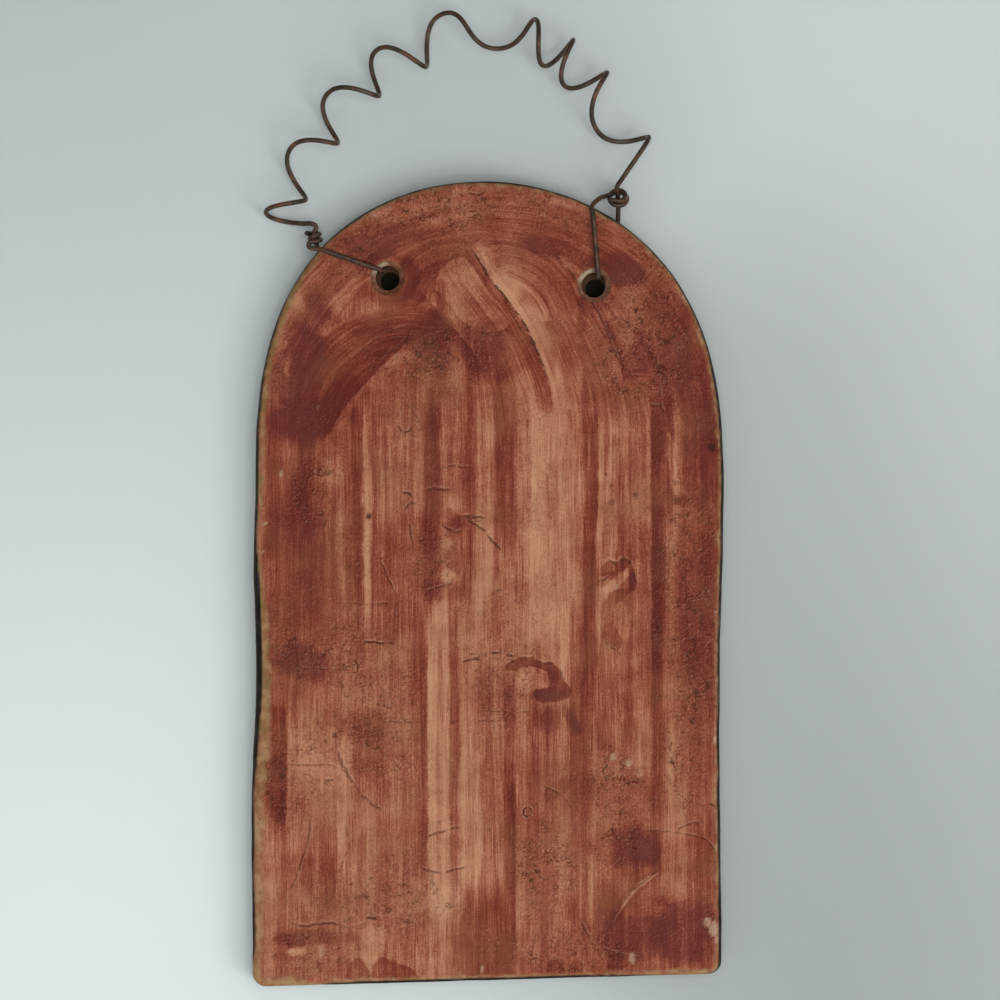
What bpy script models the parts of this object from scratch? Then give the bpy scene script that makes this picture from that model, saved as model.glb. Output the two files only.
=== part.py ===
"""Arched clay wall plaque with a curled wire hanger.

A hand-cut slab of fired clay with a round top stands upright, its washed face
towards -Y.  Two countersunk holes are drilled near its top.  One stiff wire
starts in a wrapped knot above the left shoulder, passes through the left hole,
goes up inside the knot, curls over the slab in nine loose bumps, passes through
its own end coil above the right shoulder and ends, through the right hole,
in that coil.

Everything is worked out in the slab's own places: x from the slab's centre
line, y from the middle of its thickness, z up from its lowest corner.  An empty
then carries both pieces so that the origin is where the nail touches the wire.
"""

import math

import bmesh
import bpy
from mathutils import Vector
from mathutils.geometry import intersect_line_line_2d

MM = 0.001

# Clay slab
SLAB_WIDTH = 152.5 * MM
SLAB_HEIGHT = 262.0 * MM
SLAB_THICKNESS = 8.0 * MM
ARCH_HEIGHT = 104.0 * MM
ARCH_FULLNESS = 2.9
ARCH_LEAN = 2.1 * MM
FOOT_RISE = 4.0 * MM
CORNER_RADIUS = 4.5 * MM
EDGE_ROUNDING = 2.4 * MM
EDGE_SEGMENTS = 4
EDGE_SHARPER_THAN = math.radians(50.0)
ARCH_STEPS = 44
SIDE_STEPS = 3
CORNER_STEPS = 5
SMOOTH_BELOW = math.radians(35.0)
FLAT_BELOW = math.radians(0.5)
WELD_DISTANCE = 0.01 * MM

# How far each side strays outwards, at shares of the height where the arch springs
LEFT_SIDE_WANDER = ((0.88, 0.6 * MM), (0.64, -0.3 * MM), (0.39, 1.2 * MM), (0.08, 0.9 * MM))
RIGHT_SIDE_WANDER = ((0.88, -0.3 * MM), (0.71, -1.2 * MM), (0.39, -1.3 * MM), (0.16, -0.8 * MM))

# Drilled holes
HOLE_DIAMETER = 8.0 * MM
HOLE_SPACING = 67.1 * MM
HOLES_MIDDLE = 0.4 * MM
LEFT_HOLE_BELOW_TOP = 31.5 * MM
RIGHT_HOLE_BELOW_TOP = 33.8 * MM
FRONT_RIM_DIAMETER = 11.4 * MM
BACK_RIM_DIAMETER = 10.0 * MM
RIM_ANGLE = math.radians(42.0)
HOLE_STEPS = 28

# Hollows pressed into the soft face: place across and up, half sizes, depth, turn
HOLLOWS = (
    (16.5 * MM, 95.0 * MM, 13.0 * MM, 8.5 * MM, 0.8 * MM, math.radians(-38.0)),
    (41.0 * MM, 133.5 * MM, 7.0 * MM, 5.0 * MM, 0.7 * MM, math.radians(35.0)),
    (49.5 * MM, 44.5 * MM, 9.0 * MM, 6.0 * MM, 0.6 * MM, math.radians(10.0)),
)
HOLLOW_BALL_RADIUS = 4.0 * MM
HOLLOW_STEPS = 20

# Hanging wire
WIRE_DIAMETER = 1.6 * MM
WIRE_ROUNDNESS = 2
CLAY_GAP = 0.3 * MM
WRAP_GAP = 0.25 * MM
FACE_LIFT = SLAB_THICKNESS / 2 + CLAY_GAP + WIRE_DIAMETER / 2
BEND_RADIUS = 3.0 * MM
BEND_STEPS = 3

# Left knot: the wire's end wraps its own standing part
LEFT_LEG_ANGLE = math.radians(161.0)
LEFT_BEARING = math.radians(126.0)
KNOT_LEAN = math.radians(101.0)
KNOT_STANDOFF = 2.6 * MM
KNOT_SHIFT = -0.9 * MM
KNOT_TURNS = 1.625
KNOT_PITCH = 2.2 * MM
KNOT_TAIL_LENGTH = 2.0 * MM
KNOT_TURNBACK = (
    (-1.2 * MM, -1.95 * MM, -0.05 * MM),
    (-2.15 * MM, -2.25 * MM, -0.65 * MM),
    (-2.15 * MM, -2.65 * MM, -1.6 * MM),
    (-1.1 * MM, -3.0 * MM, -2.2 * MM),
)
KNOT_CROWN_WIDTH = 1.2 * MM
KNOT_CROWN_HEIGHT = 2.6 * MM
KNOT_CROWN = ((0.55, 0.4), (0.4, 0.9), (-1.0, 1.15))
KNOT_EXIT_PULL = 12.0 * MM

# Right coil: a loose ring that the standing part passes through
RIGHT_FRONT_LEG_ANGLE = math.radians(95.0)
RIGHT_BACK_LEG_ANGLE = math.radians(70.5)
RIGHT_BEARING = math.radians(60.0)
COIL_STANDOFF = 8.0 * MM
COIL_APPROACH = ((-5.7 * MM, -0.9 * MM, -0.8 * MM), (-3.6 * MM, 1.6 * MM, 0.7 * MM))
COIL_ENTRY = (-0.3 * MM, -2.7 * MM, 3.5 * MM)
COIL_RADIUS = 3.2 * MM
COIL_TIGHTENING = 0.55 * MM
COIL_TURNS = 1.67
COIL_START = math.radians(135.0)
COIL_TILT = math.radians(32.0)
COIL_TAIL_LENGTH = 2.4 * MM

# Curled arch: turning points across in shares of the knots' span, up in shares of the rise,
# and how roundly the wire turns there
CURL_RISE = 64.5 * MM
CURL_DEPTH = 3.6 * MM
CURL_TURNS = (
    (-0.144, 0.074, 0.90),
    (-0.015, 0.123, 0.20),
    (-0.069, 0.377, 1.00),
    (0.089, 0.395, 0.20),
    (0.053, 0.644, 1.05),
    (0.223, 0.616, 0.20),
    (0.217, 0.849, 1.05),
    (0.376, 0.743, 0.20),
    (0.431, 1.003, 1.10),
    (0.596, 0.807, 0.95),
    (0.732, 0.936, 0.45),
    (0.755, 0.701, 0.70),
    (0.855, 0.816, 0.15),
    (0.825, 0.591, 0.95),
    (0.965, 0.637, 0.15),
    (0.929, 0.357, 1.10),
    (1.101, 0.293, 0.18),
)

# How finely the wire is drawn
TURN_STEPS = 12
CURVE_STEPS = 8
ROUTE_STEPS = 4
LONGEST_STEP = 3.2 * MM
SHARPEST_STEP = math.radians(20.0)

CLAY_COLOUR = (0.302, 0.093, 0.058, 1.0)
WIRE_COLOUR = (0.070, 0.048, 0.036, 1.0)


def clear_scene():
    """Start from an empty scene."""
    for item in list(bpy.data.objects):
        bpy.data.objects.remove(item, do_unlink=True)


def make_collection(name):
    """A collection linked to the scene."""
    collection = bpy.data.collections.new(name)
    bpy.context.scene.collection.children.link(collection)
    return collection


def make_material(name, colour, roughness, metallic):
    """A Principled material."""
    material = bpy.data.materials.new(name)
    material.use_nodes = True
    shader = material.node_tree.nodes["Principled BSDF"]
    shader.inputs["Base Color"].default_value = colour
    shader.inputs["Roughness"].default_value = roughness
    shader.inputs["Metallic"].default_value = metallic
    return material


def spline_through(points, steps):
    """Points on a centripetal Catmull-Rom curve through the given points."""
    ends = [2 * points[0] - points[1]] + list(points) + [2 * points[-1] - points[-2]]
    curve = []
    for before, start, end, after in zip(ends, ends[1:], ends[2:], ends[3:]):
        a = math.sqrt((start - before).length)
        b = math.sqrt((end - start).length)
        c = math.sqrt((after - end).length)
        leave = (start - before) / a - (end - before) / (a + b) + (end - start) / b
        arrive = (end - start) / b - (after - start) / (b + c) + (after - end) / c
        curve += [hermite(start, leave * b, end, arrive * b, step / steps) for step in range(steps)]
    return curve + [points[-1]]


def hermite(start, leave, end, arrive, share):
    """The point at a share of a cubic that leaves start and arrives at end."""
    square = share * share
    cube = square * share
    return ((2 * cube - 3 * square + 1) * start + (cube - 2 * square + share) * leave
            + (3 * square - 2 * cube) * end + (cube - square) * arrive)


def side_points(wander, sign):
    """Places down one long side, from the spring line to the foot."""
    spring = SLAB_HEIGHT - ARCH_HEIGHT
    marks = [Vector((0.0, spring))]
    marks += [Vector((stray, spring * share)) for share, stray in wander]
    marks.append(Vector((wander[-1][1], 0.0)))
    smooth = spline_through(marks, SIDE_STEPS)
    return [Vector((sign * (SLAB_WIDTH / 2 + mark.x), mark.y)) for mark in smooth[1:-1]]


def corner_points(centre, start_angle):
    """A quarter turn round a lower corner, clockwise as seen from the front."""
    turns = [start_angle - math.pi / 2 * step / CORNER_STEPS for step in range(CORNER_STEPS + 1)]
    return [centre + CORNER_RADIUS * Vector((math.cos(turn), math.sin(turn))) for turn in turns]


def slab_outline():
    """The slab's outline: a superelliptic arch, two wandering sides and a sloping foot."""
    spring = SLAB_HEIGHT - ARCH_HEIGHT
    outline = []
    for step in range(ARCH_STEPS + 1):
        turn = math.pi * (1 - step / ARCH_STEPS)
        rise = max(math.sin(turn), 0.0) ** (2 / ARCH_FULLNESS)
        across = SLAB_WIDTH / 2 * math.cos(turn) - ARCH_LEAN * rise * rise
        outline.append(Vector((across, spring + ARCH_HEIGHT * rise)))
    right = side_points(RIGHT_SIDE_WANDER, 1)
    left = side_points(LEFT_SIDE_WANDER, -1)
    right_foot = Vector((right[-1].x - CORNER_RADIUS, FOOT_RISE + CORNER_RADIUS))
    left_foot = Vector((left[-1].x + CORNER_RADIUS, CORNER_RADIUS))
    outline += [mark for mark in right if mark.y > right_foot.y]
    outline += corner_points(right_foot, 0.0)
    outline += corner_points(left_foot, -math.pi / 2)
    outline += [mark for mark in reversed(left) if mark.y > left_foot.y]
    return outline


def hole_centres():
    """The two holes' centres across and up the slab."""
    left = Vector((HOLES_MIDDLE - HOLE_SPACING / 2, SLAB_HEIGHT - LEFT_HOLE_BELOW_TOP))
    right = Vector((HOLES_MIDDLE + HOLE_SPACING / 2, SLAB_HEIGHT - RIGHT_HOLE_BELOW_TOP))
    return left, right


def edge_crossing(outline, start, angle):
    """Where a line from start, at an angle, leaves the outline, and how squarely it crosses."""
    way = Vector((math.cos(angle), math.sin(angle)))
    reach = start + (SLAB_WIDTH + SLAB_HEIGHT) * way
    for here, there in zip(outline, outline[1:] + outline[:1]):
        hit = intersect_line_line_2d(start, reach, here, there)
        if hit is not None:
            run = (there - here).normalized()
            return Vector(hit), abs(way.x * run.y - way.y * run.x)
    raise ValueError("the line never leaves the slab")


def mesh_from_curve(source, name, collection):
    """A named mesh object with a curve object's shape, its caps welded and its flats one face."""
    bpy.context.view_layer.update()
    mesh = bpy.data.meshes.new_from_object(source.evaluated_get(bpy.context.evaluated_depsgraph_get()))
    piece = bpy.data.objects.new(name, mesh)
    piece.matrix_world = source.matrix_world.copy()
    bpy.data.objects.remove(source, do_unlink=True)
    collection.objects.link(piece)
    body = bmesh.new()
    body.from_mesh(mesh)
    bmesh.ops.remove_doubles(body, verts=body.verts, dist=WELD_DISTANCE)
    bmesh.ops.dissolve_limit(body, angle_limit=FLAT_BELOW, verts=body.verts, edges=body.edges)
    bmesh.ops.recalc_face_normals(body, faces=body.faces)
    body.to_mesh(mesh)
    body.free()
    return piece


def make_slab_blank(outline, collection):
    """The slab as an extruded outline, standing with its faces towards -Y and +Y."""
    flat = bpy.data.curves.new("slab_outline", "CURVE")
    flat.dimensions = "2D"
    flat.fill_mode = "BOTH"
    flat.extrude = SLAB_THICKNESS / 2
    spline = flat.splines.new("POLY")
    spline.points.add(len(outline) - 1)
    for point, mark in zip(spline.points, outline):
        point.co = (mark.x, mark.y, 0.0, 1.0)
    spline.use_cyclic_u = True
    source = bpy.data.objects.new("slab_outline", flat)
    source.rotation_euler = (math.pi / 2, 0.0, 0.0)
    collection.objects.link(source)
    return mesh_from_curve(source, "clay_slab", collection)


def make_hole_cutter(name, centre, collection):
    """A turned cutter: a straight bore with a wider, sloping rim at each face."""
    bore = HOLE_DIAMETER / 2
    front = FRONT_RIM_DIAMETER / 2
    back = BACK_RIM_DIAMETER / 2
    half = SLAB_THICKNESS / 2
    reach = half + bore
    slope = math.tan(RIM_ANGLE)
    front_depth = (front - bore) / slope
    back_depth = (back - bore) / slope
    flare = (reach - half) * slope
    profile = (
        (0.0, reach),
        (front + flare, reach),
        (front, half),
        (bore, half - front_depth),
        (bore, back_depth - half),
        (back, -half),
        (back + flare, -reach),
        (0.0, -reach),
    )
    mesh = bpy.data.meshes.new(name)
    mesh.from_pydata([(radius, 0.0, height) for radius, height in profile],
                     [(step, step + 1) for step in range(len(profile) - 1)], [])
    cutter = bpy.data.objects.new(name, mesh)
    turn = cutter.modifiers.new("turn", "SCREW")
    turn.axis = "Z"
    turn.steps = HOLE_STEPS
    turn.render_steps = HOLE_STEPS
    turn.use_merge_vertices = True
    turn.merge_threshold = WELD_DISTANCE
    cutter.rotation_euler = (math.pi / 2, 0.0, 0.0)
    cutter.location = (centre.x, 0.0, centre.y)
    hide_cutter(cutter, collection)
    return cutter


def make_hollow_cutter(name, hollow, collection):
    """A flattened ball whose cap dips into the washed face."""
    across, up, half_across, half_up, depth, turn = hollow
    ball = bmesh.new()
    bmesh.ops.create_uvsphere(ball, u_segments=HOLLOW_STEPS, v_segments=HOLLOW_STEPS, radius=1.0)
    share = math.sqrt(1 - (1 - depth / HOLLOW_BALL_RADIUS) ** 2)
    bmesh.ops.scale(ball, vec=(half_across / share, HOLLOW_BALL_RADIUS, half_up / share), verts=ball.verts)
    mesh = bpy.data.meshes.new(name)
    ball.to_mesh(mesh)
    ball.free()
    cutter = bpy.data.objects.new(name, mesh)
    cutter.location = (across, -SLAB_THICKNESS / 2 - HOLLOW_BALL_RADIUS + depth, up)
    cutter.rotation_euler = (0.0, turn, 0.0)
    hide_cutter(cutter, collection)
    return cutter


def hide_cutter(cutter, collection):
    """Keep a cutter out of the finished object."""
    cutter.hide_render = True
    cutter.display_type = "WIRE"
    collection.objects.link(cutter)


def make_slab(outline, collection, cutters):
    """The clay slab with rounded edges, drilled holes and pressed hollows."""
    slab = make_slab_blank(outline, collection)
    rounding = slab.modifiers.new("rounded_edges", "BEVEL")
    rounding.width = EDGE_ROUNDING
    rounding.segments = EDGE_SEGMENTS
    rounding.limit_method = "ANGLE"
    rounding.angle_limit = EDGE_SHARPER_THAN
    tools = [make_hole_cutter(f"{side}_hole_cutter", centre, cutters)
             for side, centre in zip(("left", "right"), hole_centres())]
    tools += [make_hollow_cutter(f"hollow_cutter_{number + 1}", hollow, cutters)
              for number, hollow in enumerate(HOLLOWS)]
    for tool in tools:
        cut = slab.modifiers.new(tool.name, "BOOLEAN")
        cut.operation = "DIFFERENCE"
        cut.solver = "EXACT"
        cut.object = tool
    slab.data.shade_smooth()
    slab.data.set_sharp_from_angle(angle=SMOOTH_BELOW)
    return slab


def bearing_point(hole, bearing):
    """Where the wire runs through a hole, off centre on the side that it bears on."""
    off_centre = HOLE_DIAMETER / 2 * math.cos(math.pi / HOLE_STEPS) - CLAY_GAP - WIRE_DIAMETER / 2
    return hole + off_centre * Vector((math.cos(bearing), math.sin(bearing)))


def face_bend(inside, angle, side):
    """A quarter circle from along a face to along the hole; side is -1 in front, 1 behind."""
    way = Vector((math.cos(angle), math.sin(angle)))
    marks = []
    for step in range(BEND_STEPS + 1):
        turn = math.pi / 2 * step / BEND_STEPS
        place = inside + way * BEND_RADIUS * (1 - math.sin(turn))
        depth = FACE_LIFT - BEND_RADIUS * (1 - math.cos(turn))
        marks.append(Vector((place.x, side * depth, place.y)))
    return marks


def hole_passage(inside, front_angle, back_angle):
    """The wire's points from the front face, through a hole, out to the back face."""
    return face_bend(inside, front_angle, -1) + face_bend(inside, back_angle, 1)[::-1]


def leg_marks(outline, inside, angle, side):
    """A leg's points from the slab's rounded edge, over a face, to half way to its hole.

    Round the edge the wire keeps one distance from the rounding's own centre.
    """
    edge, squareness = edge_crossing(outline, inside, angle)
    way = (edge - inside).normalized()
    reach = EDGE_ROUNDING + CLAY_GAP + WIRE_DIAMETER / 2
    half_way = (edge + inside) / 2
    marks = []
    for turn in (math.pi / 4, math.pi / 2):
        place = edge + way * (reach * math.cos(turn) - EDGE_ROUNDING) / squareness
        depth = SLAB_THICKNESS / 2 - EDGE_ROUNDING + reach * math.sin(turn)
        marks.append(Vector((place.x, side * depth, place.y)))
    return marks + [Vector((half_way.x, side * FACE_LIFT, half_way.y))]


def knot_axis(outline, inside):
    """Foot and direction of the standing part that the left knot wraps."""
    edge, _ = edge_crossing(outline, inside, LEFT_LEG_ANGLE)
    way = Vector((math.cos(KNOT_LEAN), 0.0, math.sin(KNOT_LEAN)))
    return Vector((edge.x + KNOT_SHIFT, 0.0, edge.y)) + way * KNOT_STANDOFF, way


def knot_wraps(foot, way):
    """The wraps of the left knot from their tail down to the turn back towards the leg.

    A helix round the standing part: its radius is one wire and a gap, and it climbs one
    pitch a turn.
    """
    radius = WIRE_DIAMETER + WRAP_GAP
    across = Vector((way.z, 0.0, -way.x))
    front = Vector((0.0, -1.0, 0.0))
    count = round(KNOT_TURNS * TURN_STEPS)
    marks = []
    for step in range(count, -1, -1):
        share = step / TURN_STEPS
        turn = 2 * math.pi * share
        out = across * math.sin(turn) + front * math.cos(turn)
        marks.append(foot + way * KNOT_PITCH * share + out * radius)
    tip = marks[0] + (marks[0] - marks[1]).normalized() * KNOT_TAIL_LENGTH
    return [tip] + marks + [foot + Vector(offset) for offset in KNOT_TURNBACK]


def coil_frame(outline, inside):
    """Centre of the right coil and the directions across and up its tilted ring."""
    edge, _ = edge_crossing(outline, inside, RIGHT_BACK_LEG_ANGLE)
    centre = Vector((edge.x, 0.0, edge.y + COIL_STANDOFF))
    across = Vector((1.0, 0.0, 0.0))
    up = Vector((0.0, math.sin(COIL_TILT), math.cos(COIL_TILT)))
    return centre, across, up


def coil_ring(centre, across, up):
    """The right coil from the leg that arrives at its upper left, round and out at its foot.

    A tightening spiral that also steps forwards by one wire and a gap a turn.
    """
    forwards = Vector((0.0, -math.cos(COIL_TILT), math.sin(COIL_TILT)))
    pitch = WIRE_DIAMETER + WRAP_GAP
    count = round(COIL_TURNS * TURN_STEPS)
    marks = []
    for step in range(count + 1):
        share = step / TURN_STEPS
        turn = COIL_START - 2 * math.pi * share
        radius = COIL_RADIUS - COIL_TIGHTENING * share
        place = centre + forwards * pitch * (share - COIL_TURNS / 2)
        marks.append(place + radius * (across * math.cos(turn) + up * math.sin(turn)))
    return marks + [marks[-1] + (marks[-1] - marks[-2]).normalized() * COIL_TAIL_LENGTH]


def curl_points(start, end, entry):
    """The curled arch from the knot's crown to just above the coil.

    The wire is a pulled-out coil.  Between turning points it runs on a cubic whose pull at
    each end is the line between its neighbours times that point's roundness, and its depth
    swings behind and in front by turns, once each way for a bump.
    """
    span = end - start
    upright = Vector((0.0, 0.0, 1.0))
    turns = [start + span * across + upright * CURL_RISE * up for across, up, _ in CURL_TURNS]
    turns = [start] + turns + [entry]
    pulls = [(after - before) * turn[2]
             for before, after, turn in zip(turns, turns[2:], CURL_TURNS)]
    pulls = [Vector((-KNOT_EXIT_PULL, 0.0, 0.0))] + pulls + [turns[-1] - turns[-2]]
    marks = []
    for number in range(len(turns) - 1):
        for step in range(CURVE_STEPS):
            share = step / CURVE_STEPS
            mark = hermite(turns[number], pulls[number], turns[number + 1], pulls[number + 1], share)
            mark.y += CURL_DEPTH * math.sin(math.pi * (number + share))
            marks.append(mark)
    return marks + [entry, end]


def wire_path(outline):
    """The wire's centre line from the left knot's tail to the right coil's tail."""
    left_hole, right_hole = hole_centres()
    left_inside = bearing_point(left_hole, LEFT_BEARING)
    right_inside = bearing_point(right_hole, RIGHT_BEARING)
    foot, way = knot_axis(outline, left_inside)
    top = foot + way * KNOT_PITCH * KNOT_TURNS
    crown = [top + Vector((KNOT_CROWN_WIDTH * across_share, 0.0, KNOT_CROWN_HEIGHT * up_share))
             for across_share, up_share in KNOT_CROWN]
    centre, across, up = coil_frame(outline, right_inside)

    marks = knot_wraps(foot, way)
    marks += leg_marks(outline, left_inside, LEFT_LEG_ANGLE, -1)
    marks += hole_passage(left_inside, LEFT_LEG_ANGLE, LEFT_LEG_ANGLE)
    marks += reversed(leg_marks(outline, left_inside, LEFT_LEG_ANGLE, 1))
    marks += [foot, top] + crown[:-1]
    marks += curl_points(crown[-1], centre, centre + Vector(COIL_ENTRY))
    marks += leg_marks(outline, right_inside, RIGHT_BACK_LEG_ANGLE, 1)
    marks += reversed(hole_passage(right_inside, RIGHT_FRONT_LEG_ANGLE, RIGHT_BACK_LEG_ANGLE))
    marks += reversed(leg_marks(outline, right_inside, RIGHT_FRONT_LEG_ANGLE, -1))
    marks += [centre + Vector(offset) for offset in COIL_APPROACH]
    marks += coil_ring(centre, across, up)
    return spline_through(marks, ROUTE_STEPS)


def thin_out(path):
    """Keep a point wherever the path has turned or run far enough since the last."""
    kept = [path[0]]
    heading = path[1] - path[0]
    for here, there in zip(path[1:], path[2:]):
        bend = heading.angle(there - here)
        run = (there - kept[-1]).length
        if bend > SHARPEST_STEP or run > LONGEST_STEP:
            kept.append(here)
            heading = there - here
    return kept + [path[-1]]


def make_wire(path, collection):
    """The hanging wire as one tube with flat ends."""
    tube = bpy.data.curves.new("hanging_wire", "CURVE")
    tube.dimensions = "3D"
    tube.bevel_depth = WIRE_DIAMETER / 2
    tube.bevel_resolution = WIRE_ROUNDNESS
    tube.use_fill_caps = True
    marks = thin_out(path)
    spline = tube.splines.new("POLY")
    spline.points.add(len(marks) - 1)
    for point, mark in zip(spline.points, marks):
        point.co = (mark.x, mark.y, mark.z, 1.0)
    wire = bpy.data.objects.new("hanging_wire", tube)
    collection.objects.link(wire)
    return wire


def hanging_point(path):
    """Where a nail touches the wire: the underside of its highest crest."""
    crest = max(path, key=lambda mark: mark.z)
    return crest - Vector((0.0, 0.0, WIRE_DIAMETER / 2))


def main():
    """Model the plaque and hang it with its origin on the nail."""
    clear_scene()
    plaque = make_collection("wall_plaque")
    cutters = make_collection("cutters")
    outline = slab_outline()
    path = wire_path(outline)
    slab = make_slab(outline, plaque, cutters)
    slab.data.materials.append(make_material("washed_clay", CLAY_COLOUR, 0.75, 0.0))
    wire = make_wire(path, plaque)
    wire.data.materials.append(make_material("dark_wire", WIRE_COLOUR, 0.5, 1.0))
    nail = bpy.data.objects.new("nail_place", None)
    plaque.objects.link(nail)
    nail.location = -hanging_point(path)
    for piece in list(plaque.objects) + list(cutters.objects):
        if piece != nail:
            piece.parent = nail


main()
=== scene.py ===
"""An arched clay wall plaque with a curled wire hanger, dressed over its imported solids.

The washed clay slab and the patinated wire are surfaces worked out with numpy in the
slab's own places: x from its centre line, y from the middle of its thickness, z up from
its lowest corner.  They are then moved to where the frame's slab stands.  Lengths are in
millimetres until a mesh is made, because the brush marks are easiest to read in them.
"""

import math

import bpy
import numpy as np
from bpy.props import FloatProperty, FloatVectorProperty, PointerProperty
from bpy.types import Operator, Panel, PropertyGroup
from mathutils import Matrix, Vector


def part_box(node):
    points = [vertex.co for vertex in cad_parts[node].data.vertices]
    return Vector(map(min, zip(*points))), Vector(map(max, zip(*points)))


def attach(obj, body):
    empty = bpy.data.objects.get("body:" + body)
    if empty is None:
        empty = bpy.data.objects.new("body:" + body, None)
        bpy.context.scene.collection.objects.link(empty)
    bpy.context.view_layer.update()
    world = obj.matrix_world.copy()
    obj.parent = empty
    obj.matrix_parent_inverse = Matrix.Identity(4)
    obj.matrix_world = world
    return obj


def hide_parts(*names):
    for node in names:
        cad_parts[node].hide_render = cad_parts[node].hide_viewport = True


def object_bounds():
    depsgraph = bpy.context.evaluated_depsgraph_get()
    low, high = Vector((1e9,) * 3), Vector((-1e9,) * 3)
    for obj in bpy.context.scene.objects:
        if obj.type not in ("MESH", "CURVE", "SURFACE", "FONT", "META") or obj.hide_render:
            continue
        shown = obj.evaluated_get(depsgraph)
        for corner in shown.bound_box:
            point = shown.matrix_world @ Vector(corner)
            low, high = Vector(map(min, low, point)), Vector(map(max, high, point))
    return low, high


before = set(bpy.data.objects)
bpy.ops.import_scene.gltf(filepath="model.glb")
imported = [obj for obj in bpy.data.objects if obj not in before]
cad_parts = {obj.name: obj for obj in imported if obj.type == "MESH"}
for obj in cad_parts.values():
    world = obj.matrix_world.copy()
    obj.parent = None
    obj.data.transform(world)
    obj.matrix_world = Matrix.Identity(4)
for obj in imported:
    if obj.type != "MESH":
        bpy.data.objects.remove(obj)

bl_info = {
    "name": "Hanging Clay Plaque",
    "version": (1, 0, 0),
    "blender": (4, 5, 0),
    "location": "View3D > Sidebar > Plaque",
    "description": "Builds an arched clay plaque with a red brushed wash and a curled wire hanger",
    "category": "Object",
}

MM = 0.001
FRAME_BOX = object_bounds()

# The slab, as its solid has it
SLAB_WIDTH = 152.5
SLAB_HEIGHT = 262.0
SLAB_THICKNESS = 8.0
ARCH_HEIGHT = 104.0
ARCH_FULLNESS = 2.9
ARCH_LEAN = 2.1
FOOT_RISE = 4.0
CORNER_RADIUS = 4.5
EDGE_ROUNDING = 2.4
LEFT_SIDE_WANDER = ((0.88, 0.6), (0.64, -0.3), (0.39, 1.2), (0.08, 0.9))
RIGHT_SIDE_WANDER = ((0.88, -0.3), (0.71, -1.2), (0.39, -1.3), (0.16, -0.8))
HOLE_DIAMETER = 8.0
LEFT_HOLE = (-33.15, 230.5)
RIGHT_HOLE = (33.95, 228.2)
FRONT_RIM_DIAMETER = 11.4
BACK_RIM_DIAMETER = 10.0
RIM_ANGLE = math.radians(42.0)

# Hollows pressed into the soft face: place across and up, half sizes, depth, turn
HOLLOWS = (
    (16.5, 95.0, 13.0, 8.5, 0.8, math.radians(-38.0)),
    (41.0, 133.5, 7.0, 5.0, 0.7, math.radians(35.0)),
    (49.5, 44.5, 9.0, 6.0, 0.6, math.radians(10.0)),
)

# How finely the slab is drawn: cells across, cells up, half a hole's block of cells
CELLS_ACROSS = 200
CELLS_UP = 324
HOLE_CELLS = 8
HOLE_REACH = 3.0

# The edge's bend in degrees where it is drawn, and how far the plain back waves
EDGE_TURNS = (14, 28, 42, 56, 72, 90)
BACK_WAVE = 0.12

# What stands for the distance in from the rim where a point is not on the face
EDGE_INSET = -1.0
REAR_EDGE_INSET = -3.0
BACK_INSET = -9.0
BORE_INSET = -20.0

# The wire's route, as its solid has it
WIRE_DIAMETER = 1.6
CLAY_GAP = 0.3
WRAP_GAP = 0.12
FACE_LIFT = SLAB_THICKNESS / 2 + CLAY_GAP + WIRE_DIAMETER / 2
BEND_RADIUS = 3.0
HOLE_SIDES = 28
LEFT_LEG_ANGLE = math.radians(161.0)
LEFT_BEARING = math.radians(126.0)
KNOT_LEAN = math.radians(101.0)
KNOT_STANDOFF = 2.6
KNOT_SHIFT = -0.9
KNOT_TURNS = 1.625
KNOT_PITCH = 1.9
KNOT_TAIL_LENGTH = 2.0
KNOT_TURNBACK = ((-1.2, -1.95, -0.05), (-2.15, -2.25, -0.65), (-2.15, -2.65, -1.6), (-1.1, -3.0, -2.2))
KNOT_CROWN_WIDTH = 1.2
KNOT_CROWN_HEIGHT = 2.6
KNOT_CROWN = ((0.55, 0.4), (0.4, 0.9), (-1.0, 1.15))
KNOT_EXIT_PULL = 12.0
RIGHT_FRONT_LEG_ANGLE = math.radians(95.0)
RIGHT_BACK_LEG_ANGLE = math.radians(70.5)
RIGHT_BEARING = math.radians(60.0)
COIL_STANDOFF = 8.0
COIL_APPROACH = ((-6.9, -2.4, -1.1), (-5.3, -0.4, 0.1), (-3.6, 1.6, 0.7))
COIL_ENTRY = (-0.3, -2.7, 3.5)
COIL_RADIUS = 3.2
COIL_TIGHTENING = 0.55
COIL_TURNS = 1.67
COIL_START = math.radians(135.0)
COIL_TILT = math.radians(32.0)
COIL_TAIL_LENGTH = 2.4
TURN_STEPS = 12
CURL_RISE = 64.5
CURL_DEPTH = 3.6
CURL_STEPS = 8
CURL_TURNS = (
    (-0.144, 0.074, 0.90), (-0.015, 0.123, 0.20), (-0.069, 0.377, 1.00), (0.089, 0.395, 0.20),
    (0.053, 0.644, 1.05), (0.223, 0.616, 0.20), (0.217, 0.849, 1.05), (0.376, 0.743, 0.20),
    (0.431, 1.003, 1.10), (0.596, 0.807, 0.95), (0.732, 0.936, 0.45), (0.755, 0.701, 0.70),
    (0.855, 0.816, 0.15), (0.825, 0.591, 0.95), (0.965, 0.637, 0.15), (0.929, 0.357, 1.10),
    (1.101, 0.293, 0.18),
)
WIRE_STEP = 0.5
WIRE_SIDES = 16

# Inputs and output of a colour blend, and the step towards the light by which the grain's light and shade are
# painted
MIX_COLOUR_INPUTS = (0, 6, 7)
MIX_COLOUR_OUTPUT = 2
LIGHT_STEP = (-0.22 * MM, 0.0, 0.22 * MM)
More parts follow.
